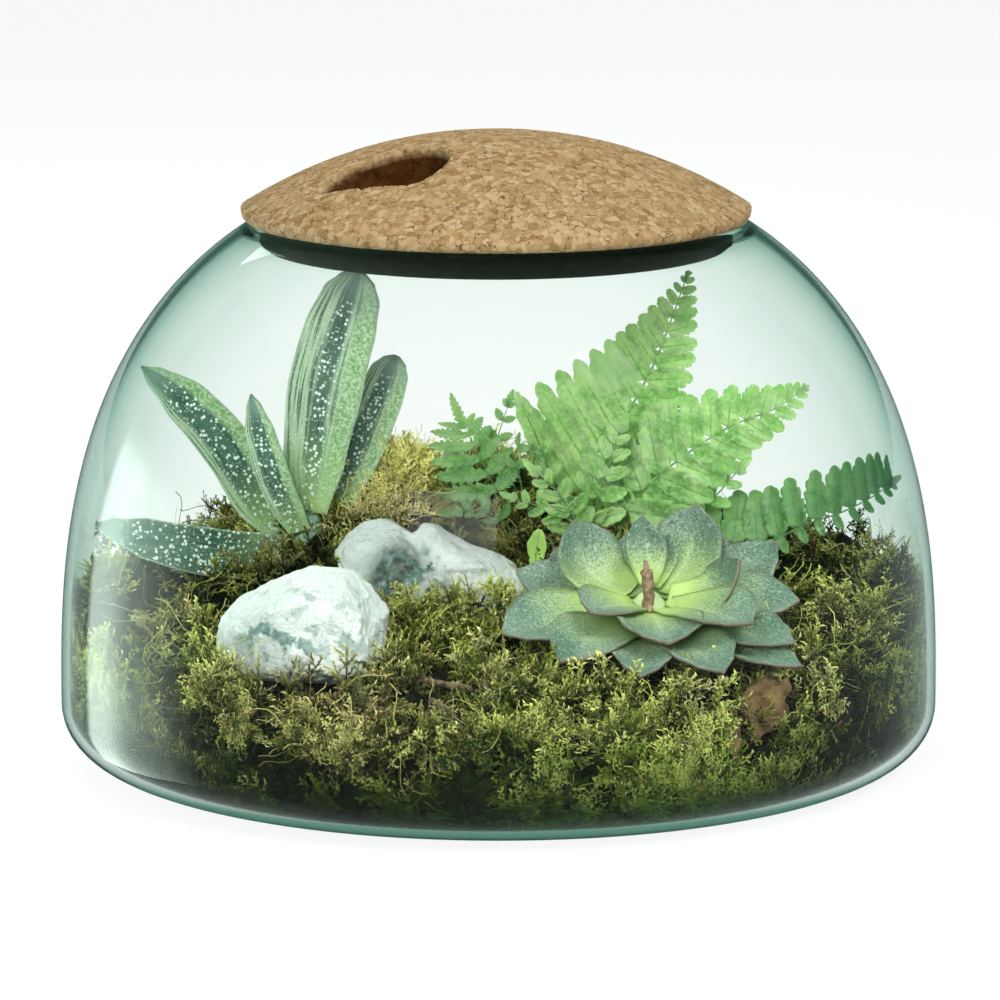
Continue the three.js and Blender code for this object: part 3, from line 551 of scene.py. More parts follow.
def gasteria_material():
    """A dark band with white dots between pale striped sides. Shade: across, along, face, band width."""
    material, tree, shader = new_material("speckled_gasteria")
    across, along, face = shade_parts(tree)
    band = add_node(tree, "Attribute", attribute_name="shade").outputs["Alpha"]
    waver = add_node(tree, "TexNoise", {"Vector": object_place(tree), "Scale": 90.0}).outputs[0]
    from_band = maths(tree, "ABSOLUTE", maths(tree, "SUBTRACT", across, 0.46))
    from_band = maths(tree, "ADD", from_band, times(tree, maths(tree, "SUBTRACT", waver, 0.5), 0.12))
    inside = rise(tree, maths(tree, "SUBTRACT", band, from_band), -0.04, 0.05)
    lines = use_group(tree, STRIPES, Across=across, Along=along, Count=24.0, Low=0.40, High=0.52)
    side = mix_colour(tree, lines, (0.07, 0.15, 0.08), (0.44, 0.56, 0.38))
    light = mix_colour(tree, mottle(tree, 900.0, 0.42, 0.6), (0.17, 0.33, 0.12), (0.44, 0.57, 0.34))
    side = mix_colour(tree, rise(tree, across, 0.62, 0.75), side, light)
    faint = times(tree, lines, 0.3)
    middle = mix_colour(tree, faint, (0.025, 0.085, 0.055), (0.16, 0.28, 0.18))
    colour = mix_colour(tree, inside, side, middle)
    colour = tint(tree, colour, rise(tree, along, 0.34, 0.02), 0.8, (0.36, 0.54, 0.20))
    colour = tint(tree, colour, rise(tree, from_middle(tree, across), 0.9, 1.0), 0.6, (0.50, 0.60, 0.46))
    dots = times(tree, specks(tree, 620.0, 0.46, 0.2), maths(tree, "ADD", times(tree, inside, 0.75), 0.2))
    white = maths(tree, "MAXIMUM", dots, times(tree, specks(tree, 1250.0, 0.4, 0.45), 0.45))
    white = rise(tree, times(tree, white, rise(tree, along, 0.93, 0.8)), 0.05, 0.45)
    colour = mix_colour(tree, white, colour, (0.84, 0.92, 0.84))
    colour = tint(tree, colour, rise(tree, along, 0.78, 0.92), 0.4, (0.34, 0.44, 0.38))
    colour = tint(tree, colour, rise(tree, along, 0.95, 1.0), 0.8, (0.07, 0.13, 0.10))
    colour = mix_colour(tree, face, mix_colour(tree, 0.6, colour, (0.14, 0.30, 0.21)), colour)
    relief = maths(tree, "ADD", white, faint)
    finish(tree, shader, {
        "Base Color": colour, "Roughness": 0.42, "Subsurface Weight": 0.08, "Subsurface Scale": 1.5 * MM,
    }, relief, 0.6, 0.25)
    return material


def rosette_material():
    """Grey-green leaf, finely mottled, lime at its foot, with a pale midline and thin brown edges.

    Shade: across, along, face.
    """
    material, tree, shader = new_material("succulent_leaf")
    across, along, face = shade_parts(tree)
    off_centre = from_middle(tree, across)
    soft = mottle(tree, 60.0, 0.35, 0.7)
    colour = mix_colour(tree, soft, (0.105, 0.185, 0.115), (0.27, 0.355, 0.27))
    colour = tint(tree, colour, rise(tree, along, 0.76, 0.2), 0.9, (0.47, 0.62, 0.17))
    inner = times(tree, rise(tree, along, 0.85, 0.4), 0.6)
    colour = tint(tree, colour, rise(tree, off_centre, 0.14, 0.0), inner, (0.60, 0.70, 0.40))
    bloom = times(tree, mottle(tree, 1500.0, 0.45, 0.60), rise(tree, along, 0.15, 0.6))
    fine = times(tree, bloom, 0.75)
    colour = mix_colour(tree, fine, colour, (0.05, 0.10, 0.09))
    colour = tint(tree, colour, mottle(tree, 1100.0, 0.55, 0.64), 0.4, (0.55, 0.64, 0.58))
    under = mix_colour(tree, soft, (0.06, 0.16, 0.04), (0.15, 0.32, 0.06))
    colour = mix_colour(tree, face, under, colour)
    edge = times(tree, rise(tree, off_centre, 0.965, 1.0), rise(tree, along, 0.3, 0.7))
    colour = tint(tree, colour, edge, 0.85, (0.20, 0.13, 0.10))
    colour = tint(tree, colour, rise(tree, along, 0.95, 1.0), 0.7, (0.22, 0.12, 0.11))
    finish(tree, shader, {
        "Base Color": colour, "Roughness": 0.5, "Subsurface Weight": 0.08, "Subsurface Scale": 2 * MM,
    }, fine, 0.3, 0.2)
    return material


def fern_material(name, young, old):
    """Thin satin blade. Shade: across, along and how dark the frond is."""
    material, tree, shader = new_material(name)
    across, along, dark = shade_parts(tree)
    colour = mix_colour(tree, mottle(tree, 130.0, 0.40, 0.60), old, young)
    rib = rise(tree, from_middle(tree, across), 0.12, 0.02)
    colour = tint(tree, colour, rib, 0.8, (0.07, 0.18, 0.04))
    cells = mottle(tree, 700.0, 0.45, 0.65)
    colour = tint(tree, colour, cells, 0.35, (0.56, 0.72, 0.38))
    colour = tint(tree, colour, along, 0.35, (0.42, 0.64, 0.26))
    colour = mix_colour(tree, dark, colour, (0.035, 0.12, 0.055))
    finish(tree, shader, {
        "Base Color": colour, "Roughness": 0.45, "Subsurface Weight": 0.5,
        "Subsurface Radius": (0.7, 1.0, 0.3), "Subsurface Scale": 2 * MM,
    }, cells, 0.35, 0.3)
    return material


def bark_material(name, dark, pale, scale=500.0):
    """Dry stems, bark and dead leaves."""
    material, tree, shader = new_material(name)
    blotches = mottle(tree, scale, 0.35, 0.68)
    colour = mix_colour(tree, blotches, dark, pale)
    finish(tree, shader, {"Base Color": colour, "Roughness": 0.8}, blotches, 0.6, 0.5)
    return material


def sweep_material():
    """A glow as strong as the sweep's shade says."""
    material, tree, shader = new_material("soft_sweep")
    glow, _, _ = shade_parts(tree)
    finish(tree, shader, {
        "Base Color": (0.1, 0.1, 0.1), "Emission Color": (0.80, 1, 0.89),
        "Emission Strength": times(tree, glow, SWEEP_GLOW),
    })
    return material


def floor_material():
    material, tree, shader = new_material("studio_floor")
    colour = mix_colour(tree, mottle(tree, 2.0, 0.2, 0.9), (0.14, 0.14, 0.14), (0.15, 0.15, 0.15))
    finish(tree, shader, {
        "Base Color": colour, "Roughness": 0.9,
        "Emission Color": (1, 1, 1), "Emission Strength": FLOOR_GLOW,
    })
    return material


GLASS = glass_material()
CORK = cork_material()
SOIL = soil_material()
MOSS_MAT = moss_ground_material()
MOSS = moss_material()
STONE = stone_material()
GASTERIA = gasteria_material()
ROSETTE_LEAF = rosette_material()
FERN = fern_material("fern_blade", (0.35, 0.53, 0.20), (0.12, 0.31, 0.05))
LIME = fern_material("lime_blade", (0.50, 0.74, 0.14), (0.36, 0.62, 0.09))
STALK = bark_material("cut_stalk", (0.14, 0.07, 0.04), (0.42, 0.27, 0.19), 420.0)
DRY_LEAF = bark_material("dry_leaf", (0.06, 0.03, 0.012), (0.21, 0.12, 0.045), 260.0)
BARK = bark_material("bark", (0.05, 0.03, 0.018), (0.24, 0.16, 0.09))
STRAW = bark_material("pale_stem", (0.16, 0.17, 0.06), (0.42, 0.42, 0.22))


# Bowl

def bowl_radius(z, inset):
    share = max(0, (z - WIDEST_HEIGHT) / (SHOULDER_RISE - inset))
    return (BOWL_RADIUS - inset) * max(0, 1 - share ** SHOULDER_POWER) ** (1 / SHOULDER_ROOT)


def bowl_corner(inset, floor, steps):
    """The rounded corner between the base and the wall, from the base up."""
    base = BASE_RADIUS - inset / 2
    power = 2 / CORNER_POWER
    profile = []
    for step in range(steps + 1):
        turn = step / steps * math.pi / 2
        r = base + (BOWL_RADIUS - inset - base) * math.sin(turn) ** power
        z = floor + (WIDEST_HEIGHT - floor) * (1 - max(0, math.cos(turn)) ** power)
        profile.append((r, z))
    return profile


def bowl_wall(inset, stop, steps):
    """The wall above the widest ring, up to where its radius has come in to stop."""
    share = (1 - (stop / (BOWL_RADIUS - inset)) ** SHOULDER_ROOT) ** (1 / SHOULDER_POWER)
    last = math.asin(share)
    profile = []
    for step in range(1, steps + 1):
        z = WIDEST_HEIGHT + (SHOULDER_RISE - inset) * math.sin(last * step / steps)
        profile.append((stop if step == steps else bowl_radius(z, inset), z))
    return profile


def inner_radius(z):
    """Radius of the room inside the glass at a height."""
    if z >= WIDEST_HEIGHT:
        return bowl_radius(z, WALL)
    corner = bowl_corner(WALL, FLOOR, 24)
    return float(np.interp(z, [h for _, h in corner], [r for r, _ in corner]))


INNER_HEIGHTS = np.linspace(FLOOR, 150, 200)
INNER_RADII = np.array([inner_radius(z) for z in INNER_HEIGHTS])


def lathe(profile, sides):
    """Rings of points round the Z axis. The first and last rings close onto the axis."""
    points = [polar(r, turn, z) for r, z in profile for turn in turns_round(sides)]
    faces = grid_faces(len(profile), sides, wrap=True)
    points += [(0, 0, profile[0][1]), (0, 0, profile[-1][1])]
    low, high = len(points) - 2, len(points) - 1
    top_ring = (len(profile) - 1) * sides
    for k in range(sides):
        faces.append((low, (k + 1) % sides, k))
        faces.append((high, top_ring + k, top_ring + (k + 1) % sides))
    return points, faces


def make_bowl():
    """The bowl's profile turned: out from the punt, up the wall, over the collar's lip and down inside."""
    rim = []
    middle = (COLLAR_OUTER + COLLAR_INNER) / 2
    half = (COLLAR_OUTER - COLLAR_INNER) / 2
    for step in range(LIP_STEPS + 1):
        turn = step / LIP_STEPS * math.pi
        rim.append((middle + half * math.cos(turn), COLLAR_TOP - LIP_RISE + LIP_RISE * math.sin(turn)))
    inside = [*bowl_corner(WALL, FLOOR, 12), *bowl_wall(WALL, COLLAR_INNER, 40)]
    profile = [
        (PUNT_RADIUS, PUNT * 0.6),
        *BASE_RING,
        *bowl_corner(0, 0, 14),
        *bowl_wall(0, COLLAR_OUTER, 44),
        *rim,
        *reversed(inside),
        (PUNT_RADIUS, FLOOR),
    ]
    points, faces = lathe(profile, BOWL_SIDES)
    bowl = new_piece("blown_glass_bowl", points, faces, GLASS)
    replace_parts(bowl, "glass_bowl")


# Lid

def closed_outline(points, steps):
    """A smooth closed curve through plan points."""
    count = len(points)
    curve = []
    for k in range(count):
        p0, p1, p2, p3 = (np.array(points[(k + shift) % count], float) for shift in (-1, 0, 1, 2))
        for step in range(steps):
            t = step / steps
            curve.append(0.5 * (2 * p1 + (p2 - p0) * t + (2 * p0 - 5 * p1 + 4 * p2 - p3) * t ** 2
                                + (3 * p1 - p0 - 3 * p2 + p3) * t ** 3))
    return np.array(curve)


SCOOP_CURVE = closed_outline(SCOOP_OUTLINE, 36)


def scoop_hollow(rim, out):
    """Depth of the thumb scoop at a share of the way from its middle to a point of its rim."""
    steep = float(smoothstep(rim[0] * 0.6 + rim[1] * 0.9, -62, -40))
    return SCOOP_DEPTH * (1 - out ** (1.6 + (7 - 1.6) * steep))


def lid_edge(rim):
    """Where the line from the scoop's middle through a point of its rim meets the lid's edge."""
    heading = np.array(rim) - SCOOP_CENTRE
    heading /= np.hypot(*heading)
    start = np.array(SCOOP_CENTRE) - (LID_CENTRE_X, 0)
    half = start @ heading
    reach = -half + math.sqrt(half * half - start @ start + LID_RADIUS ** 2)
    return np.array(SCOOP_CENTRE) + heading * reach


def dome_height(x, y):
    out = min(1, math.hypot(x - LID_CENTRE_X, y) / LID_RADIUS)
    return DOME_BASE + DOME_RISE * (1 - out ** 2.12)


def cork_skin(x, y, z):
    """Granules standing a little proud, with cracks and a few deep pits between them."""
    place = Vector((x, y, z)) / 2.4
    place += noise.noise_vector(place * 0.8) * 0.5
    distances = noise.voronoi(place)[0]
    crack = max(0, 1 - (distances[1] - distances[0]) / 0.16)
    patch = max(0, min(1, 0.5 + 1.6 * noise.noise(Vector((x, y, z)) / 5)))
    pit = max(0, noise.noise(Vector((x, y, z + 40)) / 2.1) - 0.42) * 5
    return 0.12 * noise.noise(place * 1.7) - 0.42 * crack * patch - 0.75 * min(1, pit)


# Rings down the lid's flange and round its plug: radius and height.
FLANGE_RINGS = [
    (LID_RADIUS, DOME_BASE - 1), (LID_RADIUS - 0.4, FLANGE_BOTTOM + 1.3), (LID_RADIUS - 1.6, FLANGE_BOTTOM),
]
PLUG_RINGS = [
    (PLUG_RADIUS + 3, FLANGE_BOTTOM), (PLUG_RADIUS, FLANGE_BOTTOM), (PLUG_RADIUS, FLANGE_BOTTOM - 4),
    (PLUG_RADIUS, PLUG_BOTTOM + 1.2), (PLUG_RADIUS - 1.4, PLUG_BOTTOM), (40, PLUG_BOTTOM), (4, PLUG_BOTTOM),
]


def make_lid():
    """The lid's skin: rings from the scoop's middle to its rim, over the dome and down round the plug."""
    points, shade = [], []
    edges = [lid_edge(rim) for rim in SCOOP_CURVE]
    for ring in range(SCOOP_RINGS + DOME_RINGS + 1):
        for rim, edge in zip(SCOOP_CURVE, edges):
            depth = 0
            if ring <= SCOOP_RINGS:
                out = ring / SCOOP_RINGS
                depth = scoop_hollow(rim, out)
                x, y = np.array(SCOOP_CENTRE) * (1 - out) + rim * out
            else:
                out = (ring - SCOOP_RINGS) / DOME_RINGS
                x, y = rim * (1 - out) + edge * out
            z = dome_height(x, y) - depth
            points.append((x, y, z + cork_skin(x, y, z)))
            # Painted shade in the scoop, stronger where it is deeper.
            shade.append((float(smoothstep(depth, 0.4, 3)), 0, 0, 1))
    # The plug's rings carry painted shade, which paints them near-black as they sit in shade inside the
    # neck.
    for rings, wear, plug_painted_shade in ((FLANGE_RINGS, 0.9, 0), (PLUG_RINGS, 0.25, 1)):
        for r, z in rings:
            for edge in edges:
                turn = math.atan2(edge[1], edge[0] - LID_CENTRE_X)
                x, y, _ = polar(r + wear * cork_skin(*polar(r, turn, z)), turn)
                points.append((LID_CENTRE_X + x, y, z))
                shade.append((0, plug_painted_shade, 0, 1))
    sides = len(SCOOP_CURVE)
    faces = grid_faces(len(points) // sides, sides, wrap=True)
    faces.append(last_ring(points, sides))
    lid = new_piece("domed_cork_lid", points, faces, CORK, shade=shade)
    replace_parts(lid, "cork_lid")


# Seating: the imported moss, read by rays

def tree_of(*nodes):
    """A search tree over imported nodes, in millimetres."""
    points, faces = [], []
    for name in nodes:
        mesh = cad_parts[name].data
        start = len(points)
        points += [v.co / MM for v in mesh.vertices]
        faces += [[start + v for v in p.vertices] for p in mesh.polygons]
    return BVHTree.FromPolygons(points, faces)


MOSS_TREE = tree_of("moss_bed")
GROUND_TREE = tree_of("moss_bed", "soil_mound")
STONE_TREE = tree_of("rock_front", "rock_back")
OVER_PLANTING = 170
DOWN = Vector((0, 0, -1))


def top_of(tree, x, y):
    """Height and slope of what a search tree holds under a plan point, or a pair of None."""
    hit, normal, _, _ = tree.ray_cast(Vector((x, y, OVER_PLANTING)), DOWN)
    return (None, None) if hit is None else (hit.z, normal)


def ground_top(x, y):
    """Height of the moss under a plan point, or of the soil where a stone or stem comes through it."""
    return top_of(GROUND_TREE, x, y)[0] or 0


def on_stone(x, y, z):
    """Whether a stone stands higher than z at a plan point."""
    stone, _ = top_of(STONE_TREE, x, y)
    return stone is not None and stone > z


def plan_place(rng, reach):
    """A random plan point: its turn, its distance from the axis, x and y."""
    turn = rng.uniform(0, 2 * math.pi)
    r = reach * math.sqrt(rng.random())
    return turn, r, *polar(r, turn)[:2]


def lump(x, y):
    """Tufts and hollows of the moss, from -1 to 1."""
    return 0.95 * noise.noise(Vector((x, y, 40)) / 15) + 0.5 * noise.noise(Vector((x, y, 90)) / 6)


def wall_inset(turn, z):
    """How far the moss falls back from the glass: hollows with tufts between them."""
    place = Vector((math.cos(turn) * 8, math.sin(turn) * 8, z / 17))
    hollow = max(0, noise.noise(place) - 0.05) * 26
    fine = abs(noise.noise(place * 3.1)) * 3
    return MOSS_WALL_GAP + (2 + hollow + fine) * (0.1 + 0.9 * float(smoothstep(z, 6, 20)))


def make_moss_ground():
    """The dark mat under the shoots: rings out over the moss, down behind the glass, and a flat floor."""
    sides, rings, levels = 200, 62, 14
    turns = turns_round(sides)
    points = []
    tops = [0.0] * sides
    for ring in range(1, rings + 1):
        r = MOSS_REACH * (ring / rings) ** 0.85
        for k, turn in enumerate(turns):
            x, y, _ = polar(r, turn)
            z = ground_top(x, y)
            if z < LOWEST_TOP:
                z = tops[k]
            tops[k] = z
            reach = min(r, inner_radius(z) - wall_inset(turn, z)) if ring > rings - 3 else r
            points.append(polar(reach, turn, z - 5 + 6 * min(0.5, lump(x, y))))
    for level in range(1, levels + 1):
        for turn, top in zip(turns, tops):
            z = top - 4 - (top - 4 - MOSS_FLOOR) * level / levels
            r = inner_radius(max(z, MOSS_FLOOR)) - wall_inset(turn, z)
            points.append(polar(r, turn, z))
    faces = grid_faces(rings + levels, sides, wrap=True)
    faces.append(last_ring(points, sides)[::-1])
    points.append((0, 0, ground_top(0, 0) - 1))
    for k in range(sides):
        faces.append((len(points) - 1, (k + 1) % sides, k))
    ground = new_piece("moss_mat_under_the_shoots", points, [f[::-1] for f in faces], MOSS_MAT)
    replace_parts(ground, "moss_bed")


# Moss shoots

def add_twiglet(points, faces, foot, heading, side, up, length, width, leaves, leaf, shares):
    """One feathery branch: a thin ribbon with short overlapping leaves on both sides and along its top.

    shares gives how far its foot and its tip are from the roots, which carry painted shade.
    """
    start = len(points)
    bend = side * (0.12 * length)
    for s in (0, 1):
        middle = foot + heading * length * s + bend * s * s
        share = between(shares, s)
        half = side * width * 0.5
        points += [(*(middle - half), share * 0.8), (*(middle + half), share * 0.8)]
    faces += [(start, start + 1, start + 3), (start, start + 3, start + 2)]
    for number in range(leaves):
        s = (number + 0.4) / leaves
        middle = foot + heading * length * s + bend * s * s
        share = between(shares, s)
        hand = (-1, 1, 0)[number % 3]
        out = side * (0.8 * hand) + heading * 0.7 + up * (0.25 if hand else 0.75)
        base = heading if hand else side
        start = len(points)
        spread = base * leaf * 0.36
        for place, paler in ((middle - spread, 0), (middle + spread, 0), (middle + out * leaf, 0.35)):
            points.append((*place, min(1, share + paler)))
        faces.append((start, start + 1, start + 2))


def shoot_shapes(rng):
    """Moss shoots one unit long: x across, y along, z up, and how far each point is from the painted shade
    of the roots.
    """
    shapes = []
    along, across, up = np.array([0, 1.0, 0]), np.array([1.0, 0, 0]), np.array([0, 0, 1.0])
    for _ in range(SHOOT_KINDS):
        points, faces = [], []
        droop = rng.uniform(-0.35, 0.1)
        bend = rng.uniform(-0.25, 0.25)
        add_twiglet(points, faces, np.zeros(3), along, across, up, 1.0, 0.045, 13, 0.13, (0.0, 0.85))
        for order in range(rng.randint(3, 4)):
            s = 0.3 + 0.6 * order / 4 + rng.uniform(-0.05, 0.05)
            hand = -1 if order % 2 else 1
            turn = hand * rng.uniform(0.5, 0.95)
            heading = along * math.cos(turn) + across * math.sin(turn) + up * rng.uniform(-0.1, 0.35)
            side = across * math.cos(turn) - along * math.sin(turn)
            length, shares = rng.uniform(0.24, 0.36), (0.8 * s, 0.4 + 0.55 * s)
            add_twiglet(points, faces, along * s, heading, side, up, length, 0.035, 5, 0.115, shares)
        shape = np.array(points)
        shape[:, 0] += bend * shape[:, 1] ** 2
        shape[:, 2] += droop * shape[:, 1] ** 2
        shapes.append((shape, np.array(faces)))
    return shapes


def thread_shapes(rng):
    """Thin curly threads one unit long."""
    shapes = []
    for _ in range(THREAD_KINDS):
        wave, turn = rng.uniform(0.08, 0.25), rng.uniform(0, 6)
        points = []
        for step in range(THREAD_STEPS + 1):
            s = step / THREAD_STEPS
            x = wave * math.sin(turn + 5 * s) - wave * math.sin(turn)
            z = wave * 0.6 * math.cos(turn + 4 * s) - wave * 0.6 * math.cos(turn)
            points += [(x - 0.01, s, z, 0.85), (x + 0.01, s, z, 0.85)]
        faces = []
        for k in range(0, 2 * THREAD_STEPS, 2):
            faces += [(k, k + 1, k + 3), (k, k + 3, k + 2)]
        shapes.append((np.array(points), np.array(faces)))
    return shapes


def scatter(shapes, choices, places, headings, ups, lengths, tones, dryness, lifts):
    """Sets a chosen shape at each place and keeps all of it inside the glass."""
    all_points, all_faces, all_shade = [], [], []
    start = 0
    for number, (shape, faces) in enumerate(shapes):
        picked = choices == number
        count = int(picked.sum())
        if not count:
            continue
        y = headings[picked]
        z = ups[picked]
        x = np.cross(y, z)
        x /= np.linalg.norm(x, axis=1, keepdims=True) + 1e-9
        z = np.cross(x, y)
        size = lengths[picked][:, None, None]
        body = (shape[None, :, 0:1] * x[:, None] + shape[None, :, 1:2] * y[:, None]
                + shape[None, :, 2:3] * z[:, None]) * size + places[picked][:, None]
        shade = np.ones((count, len(shape), 4))
        shade[..., 0] = tones[picked][:, None]
        shade[..., 1] = dryness[picked][:, None]
        # The lift raises the tip share, which takes painted shade off the roots: painted light.
        shade[..., 2] = np.minimum(1, shape[None, :, 3] + lifts[picked][:, None])
        all_points.append(body.reshape(-1, 3))
        all_shade.append(shade.reshape(-1, 4))
        shifts = start + np.arange(count)[:, None, None] * len(shape)
        all_faces.append((faces[None] + shifts).reshape(-1, 3))
        start += count * len(shape)
    points = np.concatenate(all_points)
    room = np.interp(points[:, 2], INNER_HEIGHTS, INNER_RADII) - 0.35
    reach = np.hypot(points[:, 0], points[:, 1])
    points[:, :2] *= np.minimum(1, room / np.maximum(reach, 1e-6))[:, None]
    points[:, 2] = np.maximum(points[:, 2], MOSS_FLOOR)
    return points, np.concatenate(all_faces), np.concatenate(all_shade)


# Patches of the moss, each with its place, size and strength: dry and straw-coloured, bright and fresh, and
# painted shade low behind the glass. A fresh strength over 1, on the mound, also adds painted light: it
# lifts the painted root shade there.
DRY_PATCHES = [
    ((-58, -112), 30, 0.9), ((-20, -108), 16, 0.7), ((-40, 52), 26, 1.0), ((-74, 14), 14, 0.8),
    ((4, 10), 16, 0.6), ((96, -90), 14, 0.6), ((-96, -30), 12, 0.4), ((112, 20), 16, 0.4),
    ((0, 110), 30, 0.6),
]
FRESH_PATCHES = [
    ((38, -112), 34, 1.0), ((6, -62), 22, 0.8), ((84, -96), 20, 0.7), ((-112, -40), 20, 0.5),
    ((-40, 52), 26, 1.8), ((4, 66), 18, 1.6),
]
LOW_SHADE = [((-70, -118), 40, 1.0), ((112, -80), 22, 0.6)]


def patch_strength(patches, x, y):
    total = np.zeros_like(x)
    for (px, py), size, strength in patches:
        total = np.maximum(total, strength * np.exp(-((x - px) ** 2 + (y - py) ** 2) / (2 * size ** 2)))
    return total


def cloud_values(places, scale, shift):
    return np.array([noise.noise(Vector(p) / scale + Vector((shift, 0, 0))) for p in places])


def moss_shade(rng, places, lumps, clump_tones, wall):
    """Tone and dryness of each shoot, and how far painted light lifts the painted shade at its root, from
    where it grows.
    """
    x, y = places[:, 0], places[:, 1]
    fresh = patch_strength(FRESH_PATCHES, x, y)
    # Low lumps, the hollows between tufts, get a darker tone: painted shade. The rest of the tone is the
    # moss's own.
    tone = 0.49 + 0.5 * cloud_values(places, 17, 3) + 0.9 * lumps + 0.3 * fresh + clump_tones
    tone += rng.normal(0, 0.2, len(x))
    straw = patch_strength(DRY_PATCHES, x, y)
    tone += 0.12 * straw
    dry = straw * 0.85 + 0.9 * np.maximum(0, cloud_values(places, 21, 30) - 0.1)
    dry += (rng.random(len(x)) < 0.07) * 0.8 - fresh * 0.2
    if wall:
        # Shoots lower down behind the glass are darker: painted shade.
        tone -= 0.14 + 0.36 * smoothstep(places[:, 2], 45, 20)
        dry *= 0.8
        shadow = patch_strength(LOW_SHADE, x, y) * smoothstep(places[:, 2], 42, 24)
        tone -= 0.45 * shadow
        dry *= 1 - 0.8 * shadow
    # On the mound under the lid's shadow the painted root shade is lifted: painted light.
    lift = 0.7 * np.clip(fresh - 1, 0, 1)
    return np.clip(tone, 0, 1), np.clip(dry + rng.normal(0, 0.08, len(x)), 0, 1), lift


def unit(vectors):
    return vectors / (np.linalg.norm(vectors, axis=1, keepdims=True) + 1e-9)


def front_first(rng, turn):
    """More of the shoots stand in the front half, where the planting is seen."""
    return rng.random() < 0.62 - 0.38 * math.sin(turn)


# Sprigs that stand up over the feet of the stones and of the rosette: place and rise above the moss.
SPRIGS = [
    (28, -110, 9), (20, -113, 7), (37, -113, 8), (12, -106, 7), (46, -116, 6), (58, -115, 5),
    (2, -100, 5), (70, -113, 4), (-92, -96, 2), (-80, -103, 1), (-66, -105, 1), (-50, -102, 2),
    (-40, -92, 3), (-34, -84, 3), (-96, -84, 2), (-30, -30, 4), (-18, -28, 5), (-6, -27, 4),
    (5, -30, 3), (-48, -30, 3), (104, -74, 4),
]


def top_clumps(rng, count):
    """Clump centres over the top of the moss, none of them on a stone."""
    places, axes, lumps = [], [], []
    for x, y, rise in SPRIGS:
        places.append((x, y, ground_top(x, y) + rise))
        axes.append((0.1, -0.5, 0.8))
        lumps.append(0.55)
    while len(places) < count:
        turn, r, x, y = plan_place(rng, MOSS_REACH)
        z, slope = top_of(MOSS_TREE, x, y)
        if z is None or slope.z < STEEPEST_MOSS or r > inner_radius(z) - 5:
            continue
        if z < FRONT_FIRST_BELOW and not front_first(rng, turn):
            continue
        if on_stone(x, y, z + 1):
            continue
        height = lump(x, y)
        crowd = 3 if z > MOUND_TOP else 1
        if height < HOLLOW and crowd == 1 and rng.random() < 0.65:
            continue
        for _ in range(crowd):
            spill = rng.normal(0, crowd - 1, 2)
            places.append((x + spill[0], y + spill[1], z - 5 + 7 * min(0.7, height)))
            axes.append(slope + Vector((rng.normal(0, 0.35), rng.normal(-0.2, 0.35), 0)))
            lumps.append(height)
    return np.array(places[:count]), unit(np.array(axes[:count])), np.array(lumps[:count])


def wall_clumps(rng, count):
    """Clump centres behind the glass, below the top of the moss."""
    places, axes, lumps = [], [], []
    while len(places) < count:
        turn = rng.uniform(0, 2 * math.pi)
        top, _ = top_of(MOSS_TREE, *polar(WALL_TOP_REACH, turn)[:2])
        top = USUAL_WALL_TOP if top is None else top
        z = MOSS_FLOOR + 2 + (top - 2 - MOSS_FLOOR) * rng.random()
        inset = wall_inset(turn, z)
        if inset > MOSS_WALL_GAP + 6.5 or not front_first(rng, turn):
            continue
        places.append(polar(inner_radius(z) - inset - 1.5, turn, z))
        axes.append((math.cos(turn), math.sin(turn), rng.uniform(-0.5, 0.6)))
        # A clump set further back from the glass counts as lower: shorter, and darker as painted shade.
        lumps.append(0.55 - (inset - MOSS_WALL_GAP - 2) / 4.5)
    return np.array(places), unit(np.array(axes)), np.array(lumps)


def make_moss():
    """Clumps of shoots with painted shade at their roots, with thin threads among them, in four quarters."""
    rng = np.random.default_rng(MOSS_SEED)
    shapes = shoot_shapes(random.Random(MOSS_SEED))
    threads = thread_shapes(random.Random(MOSS_SEED))
    quarters = {"moss_front": -90, "moss_right": 0, "moss_back": 90, "moss_left": 180}
    for wall, maker, clumps in ((False, top_clumps, TOP_CLUMPS), (True, wall_clumps, WALL_CLUMPS)):
        centres, axes, lumps = maker(rng, clumps)
        for kind, templates, each, spread in (("shoots", shapes, 8, 0.62), ("threads", threads, 2, 1.2)):
            count = clumps * each
            middles = np.repeat(axes, each, axis=0)
            grown = {"headings": unit(middles + rng.normal(0, spread, (count, 3)))}
            places = np.repeat(centres, each, axis=0) + rng.normal(0, 1.5, (count, 3))
            grown["places"] = places
            grown["ups"] = unit(middles + rng.normal(0, 0.35, (count, 3)))
            high = np.repeat(lumps, each)
            clump_tones = np.repeat(rng.normal(0, 0.2, clumps), each)
            tones, grown["dryness"], grown["lifts"] = moss_shade(rng, places, high, clump_tones, wall)
            lengths = rng.uniform(*SHOOT_LENGTHS, count) + 7 * np.clip(high, 0, 0.7)
            if kind == "threads":
                lengths = rng.uniform(*THREAD_LENGTHS, count)
                tones = np.clip(tones + 0.15, 0, 0.8)
            grown.update(lengths=lengths, tones=tones, choices=rng.integers(0, len(templates), count))
            turns = np.degrees(np.arctan2(places[:, 1], places[:, 0]))
            for name, middle in quarters.items():
                near = np.abs((turns - middle + 180) % 360 - 180) <= 45
                chosen = {key: values[near] for key, values in grown.items()}
                points, faces, shade = scatter(templates, **chosen)
                new_piece(f"{name}_{'wall_' if wall else ''}{kind}", points, faces, MOSS,
                          smooth=False, shade=shade)


# Stones

